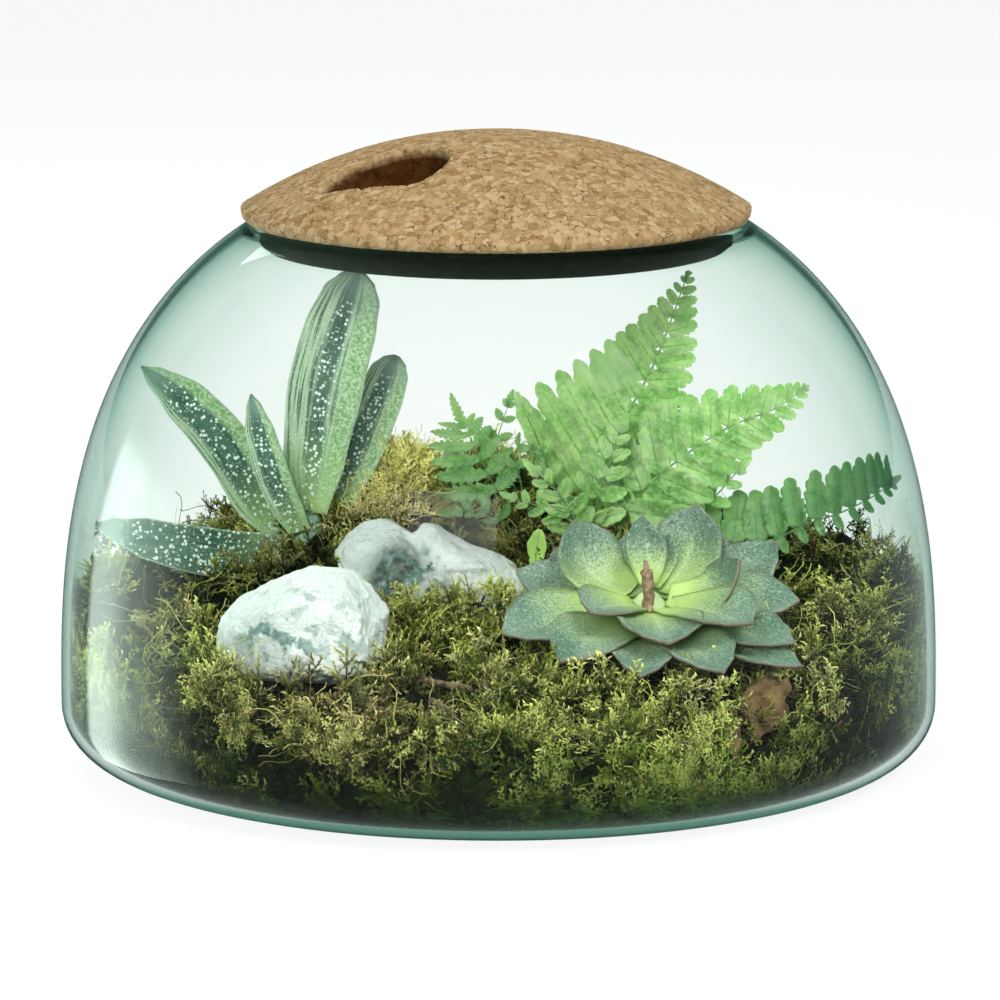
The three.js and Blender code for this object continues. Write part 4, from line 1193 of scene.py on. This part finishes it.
# Grey-green staining: centre, size and strength for each stone.
STAINS = {
    "rock_front": [((-80, -98, 62), 8, 1.0), ((-68, -100, 54), 8, 1.0), ((-60, -100, 47), 5, 0.7),
                   ((-64, -90, 72), 7, 0.45), ((-47, -98, 60), 5, 0.5)],
    "rock_back": [((-36, -22, 74), 7, 1.3), ((-31, -23, 64), 8, 1.4), ((-27, -22, 72), 6, 1.1)],
}


# The side of each stone darkened as painted shade, where its face turns from the light: centre, size and
# strength.
PAINTED_SHADE_SIDES = {"rock_front": ((-86, -98, 56), 13, 0.4), "rock_back": ((-38, -20, 69), 6.5, 2.0)}

# Flat faces broken on each stone: the direction each looks in and how far out it lies, in millimetres.
STONE_FACES = {
    "rock_front": [((-0.5, -0.1, 0.86), 12.5), ((0.2, -0.15, 0.97), 16), ((-0.55, -0.83, 0.1), 19),
                   ((0.35, -0.9, 0.25), 18.5), ((0.95, -0.3, 0.1), 23.5), ((-0.9, -0.3, 0.3), 24),
                   ((0.7, -0.2, 0.68), 19.5)],
    "rock_back": [((-0.55, -0.6, 0.58), 15.5), ((-0.85, -0.5, 0.15), 24), ((-0.1, -0.6, 0.79), 14.5),
                  ((0.5, -0.3, 0.81), 15.5), ((0.2, -0.9, -0.2), 15)],
}
STONE_MIDDLES = {"rock_front": (-65.4, -76, 59.5), "rock_back": (-22.8, -5, 62.6)}
# The fold between the back stone's two humps: where it lies along x at its top, and its depth.
FOLD_X, FOLD_LEAN, FOLD_DEPTH, FOLD_WIDTH = -24, 0.45, 6.0, 3.4


def stone_point(node, place):
    """A point of a stone moved onto its broken faces, folds and worn skin."""
    middle = Vector(STONE_MIDDLES[node])
    offset = place - middle
    for heading, reach in STONE_FACES[node]:
        normal = Vector(heading).normalized()
        wander = 1.2 * rough(offset + normal * 60, 14)
        over = offset.dot(normal) - reach - wander
        if over > 0:
            offset -= normal * over * 0.88
    if node == "rock_back":
        away = offset.x - (FOLD_X - middle.x) + FOLD_LEAN * offset.z
        sink = FOLD_DEPTH * math.exp(-away * away / (2 * FOLD_WIDTH ** 2))
        offset -= offset.normalized() * sink
    return middle + offset


def round_patch(place, centre, size, strength):
    return strength * math.exp(-(place - Vector(centre)).length_squared / (2 * size * size))


def make_stone(node, name):
    """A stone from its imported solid, divided, broken and worn rough."""
    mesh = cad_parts[node].data.copy()
    work = add_object("work", mesh)
    weld = work.modifiers.new("weld", "WELD")
    weld.merge_threshold = 0.01 * MM
    smooth = work.modifiers.new("divide", "SUBSURF")
    smooth.levels = 2
    shaped = work.evaluated_get(bpy.context.evaluated_depsgraph_get()).to_mesh()
    faces = [tuple(p.vertices) for p in shaped.polygons]
    points, shade = [], []
    for vertex in shaped.vertices:
        place = vertex.co / MM
        wear = 0.7 * rough(place, 11) + 0.6 * rough(place, 4)
        wear -= 0.7 * abs(rough(place + Vector((50, 0, 0)), 6))
        wear += 0.3 * rough(place, 1.6, 2)
        points.append(stone_point(node, place) + vertex.normal * (wear + 0.4))
        stain = max(round_patch(place, *patch) for patch in STAINS[node])
        # Painted shade on the side turned from the light.
        side_painted_shade = round_patch(place, *PAINTED_SHADE_SIDES[node])
        shade.append((min(1, stain * 1.3 + 0.05), min(1, side_painted_shade), 0, 1))
    work.to_mesh_clear()
    bpy.data.objects.remove(work)
    bpy.data.meshes.remove(mesh)
    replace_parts(new_piece(name, points, faces, STONE, shade=shade), node)


# Thick leaves

def leaf_mesh(spine, sides, width, outline, channel, keel, rim, rows, columns, wave=0.0, fold=1.6, band=1.0):
    """A closed leaf: a channel along its upper face, a keel along its lower one and a round rim."""
    path = Spine(spine)
    spread = through(outline)
    points, shade = [], []
    loop = [(-1 + 2 * c / columns, 1) for c in range(columns + 1)]
    loop += [(1 - 2 * c / columns, 0) for c in range(columns + 1)]
    for row in range(rows + 1):
        s = 0.5 - 0.5 * math.cos(math.pi * row / rows)
        s = 0.35 * s + 0.65 * row / rows
        place, _, side, up = path.frame(s, sides)
        full = spread(s)
        for x, top in loop:
            inner = 1 - abs(x) ** fold
            ripple = wave * math.sin(7 * s + 3 * x) * abs(x)
            height = rim / 2 - channel * full * inner if top else -rim / 2 - keel * full * inner
            round_in = 1 - 0.02 * (1 - top)
            points.append(place + side * (x * round_in * width * full / 2) + up * (height + ripple))
            shade.append((x / 2 + 0.5, s, top, band))
    return points, closed_faces(points, rows + 1, len(loop)), shade


def join_meshes(parts):
    points, faces, shade = [], [], []
    for part_points, part_faces, part_shade in parts:
        start = len(points)
        points += part_points
        faces += [tuple(start + v for v in face) for face in part_faces]
        shade += part_shade
    return points, faces, shade


STRAP = [(0, 0.5), (0.2, 0.82), (0.5, 1), (0.75, 0.95), (0.9, 0.78), (0.97, 0.48), (1, 0.12)]
SWORD = [(0, 0.66), (0.2, 0.95), (0.5, 1), (0.75, 0.88), (0.92, 0.46), (1, 0.05)]

GASTERIA_LEAVES = {
    "gasteria_leaf_tall": dict(
        spine=[(-66, 29, 77.8), (-64, 28, 96), (-58.5, 26, 128), (-47.5, 21, 163.5)],
        sides=[(1, -0.1, 0.1), (1, -0.25, 0.1)],
        width=26.5, outline=STRAP, channel=2.2, keel=5, band=0.13,
    ),
    "gasteria_leaf_spear": dict(
        spine=[(-68.5, 22.4, 72), (-75, 17, 86), (-81, 14, 105), (-85, 13, 122)],
        sides=[(1, -0.2, 0.1), (1, -0.3, 0.3)],
        width=12, outline=SWORD, channel=0.8, keel=3.6, band=0.27,
    ),
    "gasteria_leaf_left": dict(
        spine=[(-74.6, 27.5, 72), (-83.5, 22, 84), (-94, 15, 104), (-108, 9, 121), (-122, 5, 133)],
        sides=[(0.6, 0.25, 0.75), (0.75, 0.2, 0.6)],
        width=18, outline=SWORD, channel=1.6, keel=5, band=0.26,
    ),
    "gasteria_leaf_back": dict(
        spine=[(-61, 37, 73), (-53, 43, 88), (-44.5, 48, 108), (-35.5, 50, 129.5)],
        sides=[(1, -0.2, -0.3)],
        width=18, outline=STRAP, channel=1.5, keel=4, band=0.18,
    ),
    "gasteria_leaf_lying": dict(
        spine=[(-74, 22.5, 66), (-86, 9, 66.5), (-109, -4, 72), (-137, -12, 81.5)],
        sides=[(0.62, 0.55, 0.5), (0.55, 0.6, 0.55)],
        width=17, outline=SWORD, channel=1.2, keel=5, band=0.56,
    ),
}


def make_gasteria():
    for node, spec in GASTERIA_LEAVES.items():
        points, faces, shade = leaf_mesh(rim=1.2, rows=44, columns=12, **spec)
        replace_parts(new_piece(node + "_blade", points, faces, GASTERIA, shade=shade), node)


# Rosette

ROSETTE_FOOT = Vector((50, -54, 0))
ROSETTE_BASE = 58
ROSETTE_AXIS = Vector((0.04, -0.42, 0.91))
# Tip, width and how far the middle bows up, from the innermost leaf out.
ROSETTE_LEAVES = [
    ((50, -50, 88), 13, -3), ((48, -40, 90), 12, -3), ((57, -42, 84), 10, -2), ((25, -39, 88), 27, -7),
    ((67, -37, 93), 25, -7), ((80, -61, 79), 27, -6), ((30, -24, 83), 20, -5), ((74, -28, 84), 20, -5),
    ((30, -84, 66), 22, 3), ((83, -88, 63), 26, 4), ((55, -96, 58), 29, 4), ((94, -30, 79), 26, -3),
    ((6, -40, 71), 26, 1), ((50, -5, 79), 26, -1), ((100, -61, 65), 27, 3), ((1, -75, 57), 29, 4),
    ((19, -12, 73), 26, 1), ((79, -8, 75), 26, 1), ((97, -86, 56), 22, 3), ((20, -100, 53), 26, 5),
    ((73, -104, 50), 24, 4), ((46, -106, 49), 22, 4), ((99, -95, 50), 17, 2),
]
SPOON = [(0, 0.44), (0.28, 0.78), (0.54, 1), (0.72, 0.93), (0.87, 0.58), (0.96, 0.2), (1, 0.02)]


def rosette_leaf(tip, width, bow, order):
    """One leaf, from its place on the spiral round the stem to its tip. Later leaves grow lower."""
    end = Vector(tip)
    out = (end - ROSETTE_FOOT) * Vector((1, 1, 0))
    flat = out.length
    out.normalize()
    start = ROSETTE_FOOT + Vector((0, 0, ROSETTE_BASE + 11 - order * 0.62)) + out * min(6.5, flat * 0.25)
    middle = start.lerp(end, 0.55)
    middle.z += bow
    side = (end - start).cross(ROSETTE_AXIS).normalized()
    return leaf_mesh([start, middle, end], [side], width, SPOON, width * 0.15, width * 0.17, 1.1,
                     26, 10, wave=width * 0.014, fold=1.25)


def make_rosette():
    leaves = [rosette_leaf(*leaf, order) for order, leaf in enumerate(ROSETTE_LEAVES)]
    profile = [(3, 45), (5, 46), (5, 56), (7, 60), (6, 63), (3, 66), (1, 67)]
    core_points, core_faces = lathe(profile, 16)
    core = [Vector(p) + ROSETTE_FOOT for p in core_points]
    leaves.append((core, core_faces, [(0.5, 0.1, 1, 1)] * len(core)))
    points, faces, shade = join_meshes(leaves)
    head = new_piece("succulent_rosette_leaves", points, faces, ROSETTE_LEAF, shade=shade)
    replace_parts(head, "succulent_rosette")


def tube_mesh(path, radius, sides, steps, lumps, taper=0.0, shade=(0, 0, 0, 1)):
    """A closed stem along a path, a little knotty."""
    spine = Spine(path)
    points = []
    for step in range(steps + 1):
        s = step / steps
        place, _, side, up = spine.frame(s, [(0.31, 0.83, 0.46)])
        for k, turn in enumerate(turns_round(sides)):
            r = radius * (1 - taper * s) * (1 + lumps * rough(place + Vector((k, 0, 0)), 2.2))
            points.append(place + side * r * math.cos(turn) + up * r * math.sin(turn))
    return points, closed_faces(points, steps + 1, sides), [shade] * len(points)


def make_stub():
    """The cut flower stalk: ridged, narrowing to a torn top."""
    parts = [tube_mesh([(49.5, -63.5, 62), (49.7, -63.6, 70), (49, -63.4, 76)], 1.9, 14, 26, 0.35)]
    parts.append(tube_mesh([(49.2, -63.3, 75), (48.6, -63.2, 79)], 1.5, 10, 8, 0.5, 0.55))
    points, faces, _ = join_meshes(parts)
    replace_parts(new_piece("flower_stalk_cut", points, faces, STALK), "flower_stalk_stub")


# Ferns

def lobed_leaflet(foot, out, over, up, length, width, spec, rng, tone):
    """One leaflet, joined to the rib along its foot: lobes with small teeth, a sunk midrib and puckers."""
    lobes, cut = spec["lobes"], spec["cut"]
    rows, columns = 7 * lobes, 6
    points, shade = [], []
    phase = rng.uniform(-0.15, 0.15)
    shift = Vector((rng.uniform(0, 50), 0, 0))
    for row in range(rows + 1):
        a = row / rows
        body = spec["foot"] + (1 - spec["foot"]) * float(smoothstep(a, 0, 0.3))
        body *= (1 - a ** 3) ** spec["point"]
        half_body = width / 2 * body
        for column in range(columns + 1):
            b = 2 * column / columns - 1
            hand = 1 if b > 0 else -1
            scallop = math.sin(math.pi * ((a * lobes + phase + 0.2 * hand) % 1) ** 1.5) ** 0.6
            tooth = 1 - abs(2 * (3 * (a * lobes + phase) % 1) - 1)
            half = half_body * (1 - cut + (cut - 0.08) * scallop + 0.08 * tooth) + 0.12
            spot = foot + shift + out * a * length + over * b * half_body
            pucker = rough(spot, 3.5, 2) * 0.09 * width * body
            lift = 0.12 * width * b * b * body + pucker - spec["droop"] * length * a * a
            forward = (0.10 + 0.12 * scallop) * width * abs(b)
            points.append(foot + out * (a * length + forward * body) + over * (b * half) + up * lift)
            shade.append((b / 2 + 0.5, a, tone, 1))
    return points, grid_faces(rows + 1, columns + 1), shade


BIG_FERN = dict(rib=1.3, fill=1.6, droop=0.1, lobes=5, cut=0.3, foot=0.85, point=0.68)
SMALL_FERN = dict(rib=0.9, fill=1.35, droop=0.14, lobes=5, cut=0.55, foot=0.45, point=0.95,
                  pairs=4, taper=(0.4, 0.4), lean=(0.35, 0.8))
YOUNG_FERN = dict(BIG_FERN, pairs=5, bare=0.3, taper=(0.6, 0.6), lean=(0.4, 0.9), lobes=4)

# Reach and taper are given for the left and the right leaflets, lean for the foot and the tip of the frond.
FRONDS = {
    "fern_frond_tall": dict(
        BIG_FERN, root=(24, 25), tone=(0.0, 0.05),
        path=[(29, 24, 87), (41, 23.5, 107.5), (53.5, 22, 131), (60.5, 20.5, 150), (65, 19, 163.5)],
        sides=[(0.86, -0.3, -0.4), (0.95, -0.2, -0.2)],
        pairs=15, bare=0.17, reach=(42, 27), taper=(1.45, 1.0), lean=(0.45, 0.65),
    ),
    "fern_frond_right": dict(
        BIG_FERN, root=(41, 15), tone=(0.15, 0.15),
        path=[(44, 14, 80), (50, 14, 88.5), (64, 14, 100.5), (79.5, 14.5, 110.5), (95.5, 15, 117),
                 (105.5, 15, 124)],
        sides=[(0.5, -0.2, -0.82), (0.45, -0.2, -0.85)],
        pairs=13, bare=0.2, reach=(27, 24), taper=(0.95, 0.95), lean=(0.4, 0.8),
    ),
    "fern_frond_wall": dict(
        BIG_FERN, root=(62, 18), tone=(0.5, 1.0),
        path=[(68, 19, 68), (91.5, 19, 69), (107.5, 16, 76.5), (118, 12, 81), (128.5, 7, 87.5),
                 (135, 2, 93.5)],
        sides=[(0.05, -0.4, -0.9), (0.5, -0.45, -0.75)],
        pairs=12, bare=0.2, reach=(20, 6), taper=(0.25, 0.3), lean=(0.05, 0.35), fill=1.25,
        lobes=4,
    ),
    "fern_frond_middle": dict(
        BIG_FERN, root=(31, 9), tone=(0.05, 0.0),
        path=[(27, 8, 77), (19, 7, 82), (5, 5, 87.5)],
        sides=[(0.3, -0.45, 0.85)],
        pairs=5, bare=0.35, reach=(9, 10), taper=(0.7, 0.7), lean=(0.35, 0.8), lobes=4,
    ),
    "small_fern_frond_left": dict(
        SMALL_FERN, root=(5, 28), tone=(0.55, 0.3),
        path=[(1.5, 28.5, 82), (-4, 29.5, 92), (-8.5, 31, 101), (-12, 32, 108)],
        sides=[(0.85, -0.3, 0.15), (0.85, -0.3, 0.2)],
        pairs=6, bare=0.42, reach=(23, 11), taper=(0.35, 0.3), lean=(0.3, 0.5), lobes=7,
    ),
    "small_fern_frond_up": dict(
        SMALL_FERN, root=(8, 33), tone=(0.45, 0.3),
        path=[(4.5, 34, 88), (-0.5, 35, 99), (3.5, 36, 115)],
        sides=[(1, -0.2, 0.1), (0.9, -0.3, -0.1)],
        bare=0.5, reach=(7, 6), taper=(0.5, 0.5),
    ),
    "small_fern_frond_right": dict(
        SMALL_FERN, root=(11, 25), tone=(0.5, 0.35),
        path=[(8, 23, 88), (6, 21, 100), (9.5, 19, 104.5), (14, 17, 98)],
        sides=[(0.7, -0.6, 0.3), (0.55, -0.6, 0.6)],
        bare=0.55, reach=(6, 6),
    ),
    "small_fern_frond_low": dict(
        SMALL_FERN, root=(4, 21), tone=(0.5, 0.4),
        path=[(0, 18, 78), (-6, 16.5, 81), (-13.5, 16, 80.5)],
        sides=[(0.2, -0.55, 0.8)],
        bare=0.45, reach=(6, 7),
    ),
}

# Young leaves that fill the middle of the fern, with no solid of their own.
YOUNG_LEAVES = {
    "young_fern_leaf_left": dict(
        YOUNG_FERN, root=(22, 19), tone=(0.1, 0.0),
        path=[(20, 18, 86), (14, 17, 104), (7.5, 16, 119)],
        sides=[(0.9, -0.3, 0.2)],
        pairs=6, reach=(7, 7), lean=(0.5, 1), lobes=3,
    ),
    "young_fern_leaf_middle": dict(
        YOUNG_FERN, root=(33, 12), tone=(0.05, 0.0),
        path=[(34, 11, 84), (38, 10, 98), (42, 9, 111)],
        sides=[(0.9, -0.4, 0.1)],
        pairs=6, reach=(13, 11),
    ),
    "young_fern_leaf_low": dict(
        YOUNG_FERN, root=(29, 12), tone=(0.05, 0.0),
        path=[(26, 6, 80), (20, 2, 90), (13, 1, 97)],
        sides=[(0.6, -0.4, 0.6)],
        reach=(11, 11),
    ),
    "young_fern_leaf_right": dict(
        YOUNG_FERN, root=(52, 18), tone=(0.2, 0.1),
        path=[(60, 16, 78), (72, 14, 84), (83, 13, 96)],
        sides=[(0.7, -0.4, -0.5), (0.8, -0.4, -0.4)],
        reach=(12, 10),
    ),
}


BLADE_THICKNESS = 0.35


def blade_station(bare, share):
    """Where a leaflet stands along the stalk: the bare foot first, then closer towards the tip."""
    return bare + (1 - bare) * (1 - (1 - share) ** 1.4)


def make_frond(node, spec):
    """A frond: a thin stalk and pairs of leaflets that get shorter, closer and steeper towards the tip."""
    rng = random.Random(node)
    packed = node in FRONDS
    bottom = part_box(node)[0].z / MM if packed else ground_top(*spec["root"]) - ROOT_DEPTH
    root = Vector((*spec["root"], bottom))
    path = [root, root + Vector((0, 0, ROOT_DEPTH + 3)), *spec["path"]]
    spine = Spine(path)
    bare, pairs = spec["bare"], spec["pairs"]
    parts = []
    for pair in range(pairs):
        share = (pair + 0.5) / pairs
        station = blade_station(bare, share)
        tone = between(spec["tone"], share)
        place, along, side, up = spine.frame(station, spec["sides"])
        gap = (blade_station(bare, (pair + 1) / pairs) - blade_station(bare, pair / pairs)) * spine.length
        for sign, reach, taper in zip((-1, 1), spec["reach"], spec["taper"]):
            length = reach * (1 - share) ** taper + 0.9
            tilt = between(spec["lean"], share) + rng.uniform(-0.05, 0.05)
            width = min(spec["fill"] * gap * math.cos(tilt), length * 0.6)
            out = side * (sign * math.cos(tilt)) + along * math.sin(tilt)
            over = along * math.cos(tilt) - side * (sign * math.sin(tilt))
            parts.append(lobed_leaflet(place, out, over, up, length, width, spec, rng, tone))
    place, along, side, up = spine.frame(0.97, spec["sides"])
    parts.append(lobed_leaflet(place, along, side, up, length * 2.2, width * 1.6, spec, rng, tone))
    points, faces, shade = join_meshes(parts)
    piece = new_piece(node + "_blades", points, faces, FERN, shade=shade)
    thick = piece.modifiers.new("blade", "SOLIDIFY")
    thick.thickness = BLADE_THICKNESS * MM
    thick.offset = 0
    stalk_shade = (0.5, 0.3, spec["tone"][0] + 0.2, 1)
    points, faces, shade = tube_mesh(path, spec["rib"] / 2, 8, 50, 0.1, 0.7, stalk_shade)
    stem = new_piece(node + "_stalk", points, faces, FERN, shade=shade)
    if packed:
        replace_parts(piece, node)
        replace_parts(stem, node)


def make_ferns():
    for node, spec in {**FRONDS, **YOUNG_LEAVES}.items():
        make_frond(node, spec)
    points, faces, shade = leaf_mesh(
        [(12.5, 2.5, 61), (13, 1.5, 69), (14, -1, 77.5)], [(1, -0.3, 0.1)], 7,
        [(0, 0.3), (0.35, 0.8), (0.65, 1), (0.9, 0.6), (1, 0.2)], 0.4, 0.3, 0.6, 16, 8, wave=0.4)
    shade = [(x, s, 0, 1) for x, s, _, _ in shade]
    blade = new_piece("lime_leaf_blade", points, faces, LIME, shade=shade)
    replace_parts(blade, "fern_leaf_lime")


# Litter

def dry_leaf(node, name, centre, along, length, width, curl):
    """A dead leaf: a thin curled blade with a torn edge and creases."""
    middle, heading = Vector(centre), Vector(along).normalized()
    spine = []
    for s in (-0.5, -0.15, 0.2, 0.5):
        spine.append(middle + heading * length * s + Vector((0, 0, curl * (4 * s * s - 0.3))))
    outline = [(0, 0.35), (0.25, 0.85), (0.55, 1), (0.85, 0.7), (1, 0.15)]
    points, faces, _ = leaf_mesh(spine, [(1, 0.35, 0.15)], width, outline, curl, curl, 0.5,
                                 24, 14, wave=0.5)
    torn = []
    for point in points:
        away = point - middle
        torn_edge = rough(middle + away.normalized() * 9, 4.5, 4)
        pull = 1 - (0.1 + 0.55 * torn_edge) * min(1, away.length / (length / 2)) ** 3
        crease = Vector((0, 0.4, 0.6)) * rough(point, 4) * 0.8
        torn.append(middle + away * min(1.15, pull) + crease)
    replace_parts(new_piece(name, torn, faces, DRY_LEAF), node)


# Twigs half sunk in the moss: plan points and radius.
TWIGS = {
    "twig_long": ([(-32, -70), (-24, -82), (-9, -96)], 1.3),
    "twig_short": ([(-5, -84), (-3, -94), (0, -103)], 1.1),
    "twig_front": ([(-22, -101), (-18, -112), (-14, -122)], 1.1),
    "twig_bottom": ([(-45, -104), (-38, -112), (-30, -120)], 1.0),
    "stem_pale": ([(-16, -66), (-10, -52), (-3, -46)], 1.2),
}


def make_twigs():
    for node, (plan, radius) in TWIGS.items():
        low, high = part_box(node)
        packed = tree_of(node)
        path = []
        for x, y in plan:
            hit, _, _, _ = packed.find_nearest(Vector((x, y, (low.z + high.z) / 2 / MM)))
            path.append((x, y, hit.z))
        pale = node == "stem_pale"
        points, faces, _ = tube_mesh(path, radius * 0.92, 10, 40, 0.05 if pale else 0.3, 0.25)
        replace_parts(new_piece(node + "_stem", points, faces, STRAW if pale else BARK), node)


STRAW_SEED = 7
STRAWS = 110
STRAW_STEPS = 4


def make_threads():
    """Thin pale stems and brown straws that lie tangled in the moss."""
    rng = random.Random(STRAW_SEED)
    pale, brown = [], []
    while len(pale) + len(brown) < STRAWS:
        _, _, x, y = plan_place(rng, LITTER_REACH)
        z, _ = top_of(MOSS_TREE, x, y)
        if z is None or on_stone(x, y, z - 1):
            continue
        heading = rng.uniform(0, 2 * math.pi)
        length = rng.uniform(12, 26)
        path = []
        for step in range(STRAW_STEPS + 1):
            px = x + math.cos(heading) * length * step / STRAW_STEPS + rng.uniform(-1.5, 1.5)
            py = y + math.sin(heading) * length * step / STRAW_STEPS + rng.uniform(-1.5, 1.5)
            pz, _ = top_of(MOSS_TREE, px, py)
            if pz is None or math.hypot(px, py) > inner_radius(pz) - 3:
                break
            path.append((px, py, pz + rng.uniform(0.2, 3.2)))
            heading += rng.uniform(-0.5, 0.5)
        if len(path) > STRAW_STEPS:
            bundle = pale if rng.random() < 0.6 else brown
            bundle.append(tube_mesh(path, rng.uniform(0.16, 0.34), 4, 12, 0.2, 0.4))
    for parts, name, material in ((pale, "thin_pale_stems", STRAW), (brown, "brown_straws", BARK)):
        points, faces, _ = join_meshes(parts)
        new_piece(name, points, faces, material)


# Stage, in metres

FLOOR_SIZE = 12.0
FLOOR_GAP = 0.0002
FLOOR_GLOW = 0.88
SWEEP_GLOW = 13.0


def make_stage():
    """A plain pale floor, just under the bowl. Its mirror image is left out of the glass."""
    half = FLOOR_SIZE / 2
    corners = [(-half, -half, 0), (half, -half, 0), (half, half, 0), (-half, half, 0)]
    mesh = bpy.data.meshes.new("floor")
    mesh.from_pydata(corners, [], [(0, 1, 2, 3)])
    mesh.materials.append(floor_material())
    floor = add_object("floor", mesh)
    floor.location.z = -FLOOR_GAP
    floor.visible_glossy = False


# Area lights aimed at the bowl: name, place, width, height, power and whether the glass mirrors it.
LIGHTS = [
    ("ceiling", (0, 0.3, 3.4), 6.5, 6.5, 54.0, True),
    ("key", (0.7, -0.6, 1.5), 0.4, 0.4, 13.0, False),
    ("front", (-0.4, -1.8, 0.8), 0.8, 0.5, 17.0, False),
    ("back", (-0.5, 1.3, 1.1), 0.6, 0.6, 9.0, False),
]
AIM = Vector((0, 0, 0.08))
WORLD_COLOUR = (0.46, 0.96, 0.79, 1)
WORLD_STRENGTH = 0.17

# Camera, fitted to the photo's view of the bowl. CAMERA_DOWN is how far it looks down, in radians.
CAMERA_PLACE = (0, -2.0, 0.467)
CAMERA_DOWN = 0.1875
CAMERA_LENS = 214.3
CAMERA_SHIFT = 0.0015


# The sweep, in millimetres: its strength across, from its back edge to its front one, and where those edges
# start and head.
SWEEP_FADE = [(0, 0.0), (0.08, 0.6), (0.3, 1.0), (0.5, 0.62), (0.75, 0.4), (0.9, 0.1), (1, 0.0)]
SWEEP_FEET = ((-138, -58, 0), (-97, -114, 0))
SWEEP_HEADINGS = ((-0.68, 0.73, 0), (-0.98, -0.12, 0))
SWEEP_START, SWEEP_LENGTH, SWEEP_HEIGHT, SWEEP_LEAN = 15, 200, 165, 7.5


def make_sweep():
    """A white sweep left of the bowl, flat and then upright. Only its mirror image shows, as a haze."""
    columns, rows = 30, 30
    strength = through(SWEEP_FADE)
    points, shade = [], []
    for row in range(rows + 1):
        along = row / rows
        flat, raised = min(1, 2 * along), max(0, 2 * along - 1)
        for column in range(columns + 1):
            across = column / columns
            foot = Vector(SWEEP_FEET[0]).lerp(Vector(SWEEP_FEET[1]), across)
            heading = Vector(SWEEP_HEADINGS[0]).lerp(Vector(SWEEP_HEADINGS[1]), across).normalized()
            place = foot + heading * (SWEEP_START + SWEEP_LENGTH * flat + SWEEP_LEAN * raised)
            place.z = 0.5 + SWEEP_HEIGHT * raised
            points.append(place * MM)
            top = 1 - float(smoothstep(along, 0.88, 1))
            shade.append((strength(across) * top, 0, 0, 1))
    mesh = bpy.data.meshes.new("white_sweep")
    mesh.from_pydata([tuple(p) for p in points], [], grid_faces(rows + 1, columns + 1))
    paint_shade(mesh, shade)
    mesh.materials.append(sweep_material())
    sweep = add_object("white_sweep", mesh)
    for ray in ("camera", "diffuse", "transmission", "shadow"):
        setattr(sweep, "visible_" + ray, False)


def make_lights():
    for name, place, width, height, power, mirrored in LIGHTS:
        light = bpy.data.lights.new(name, "AREA")
        light.energy = power
        light.shape = "RECTANGLE"
        light.size = width
        light.size_y = height
        box = add_object(name, light)
        box.visible_glossy = mirrored
        box.location = place
        box.rotation_euler = (AIM - Vector(place)).to_track_quat("-Z", "Y").to_euler()
    world = bpy.data.worlds.new("studio")
    world.use_nodes = True
    sky = world.node_tree.nodes["Background"]
    sky.inputs["Color"].default_value = WORLD_COLOUR
    sky.inputs["Strength"].default_value = WORLD_STRENGTH
    bpy.context.scene.world = world


def make_camera():
    camera = bpy.data.cameras.new("camera")
    camera.lens = CAMERA_LENS
    camera.sensor_width = 36
    camera.shift_x = CAMERA_SHIFT
    camera.clip_end = 30
    holder = add_object("camera", camera)
    holder.location = CAMERA_PLACE
    holder.rotation_euler = (math.pi / 2 - CAMERA_DOWN, 0, 0)
    bpy.context.scene.camera = holder
    bpy.context.scene.view_settings.view_transform = "Standard"


# Building

def dress_packed(node, material):
    """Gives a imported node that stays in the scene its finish."""
    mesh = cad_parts[node].data
    mesh.materials.clear()
    mesh.materials.append(material)


make_stage()
make_sweep()
make_lights()
make_camera()
dress_packed("soil_mound", SOIL)
dress_packed("gasteria_crown", GASTERIA)
make_bowl()
make_lid()
make_moss_ground()
make_moss()
make_stone("rock_front", "front_stone")
make_stone("rock_back", "back_stone")
make_gasteria()
make_rosette()
make_stub()
make_ferns()
dry_leaf("dead_leaf", "curled_dead_leaf", (87, -100, 38.5), (0.55, 0.6, 0.75), 22, 17, 1)
dry_leaf("dead_leaf_strip", "dead_leaf_scrap", (76, -115, 33), (-0.1, 0.6, 1), 17, 5, 0.6)
make_twigs()
make_threads()
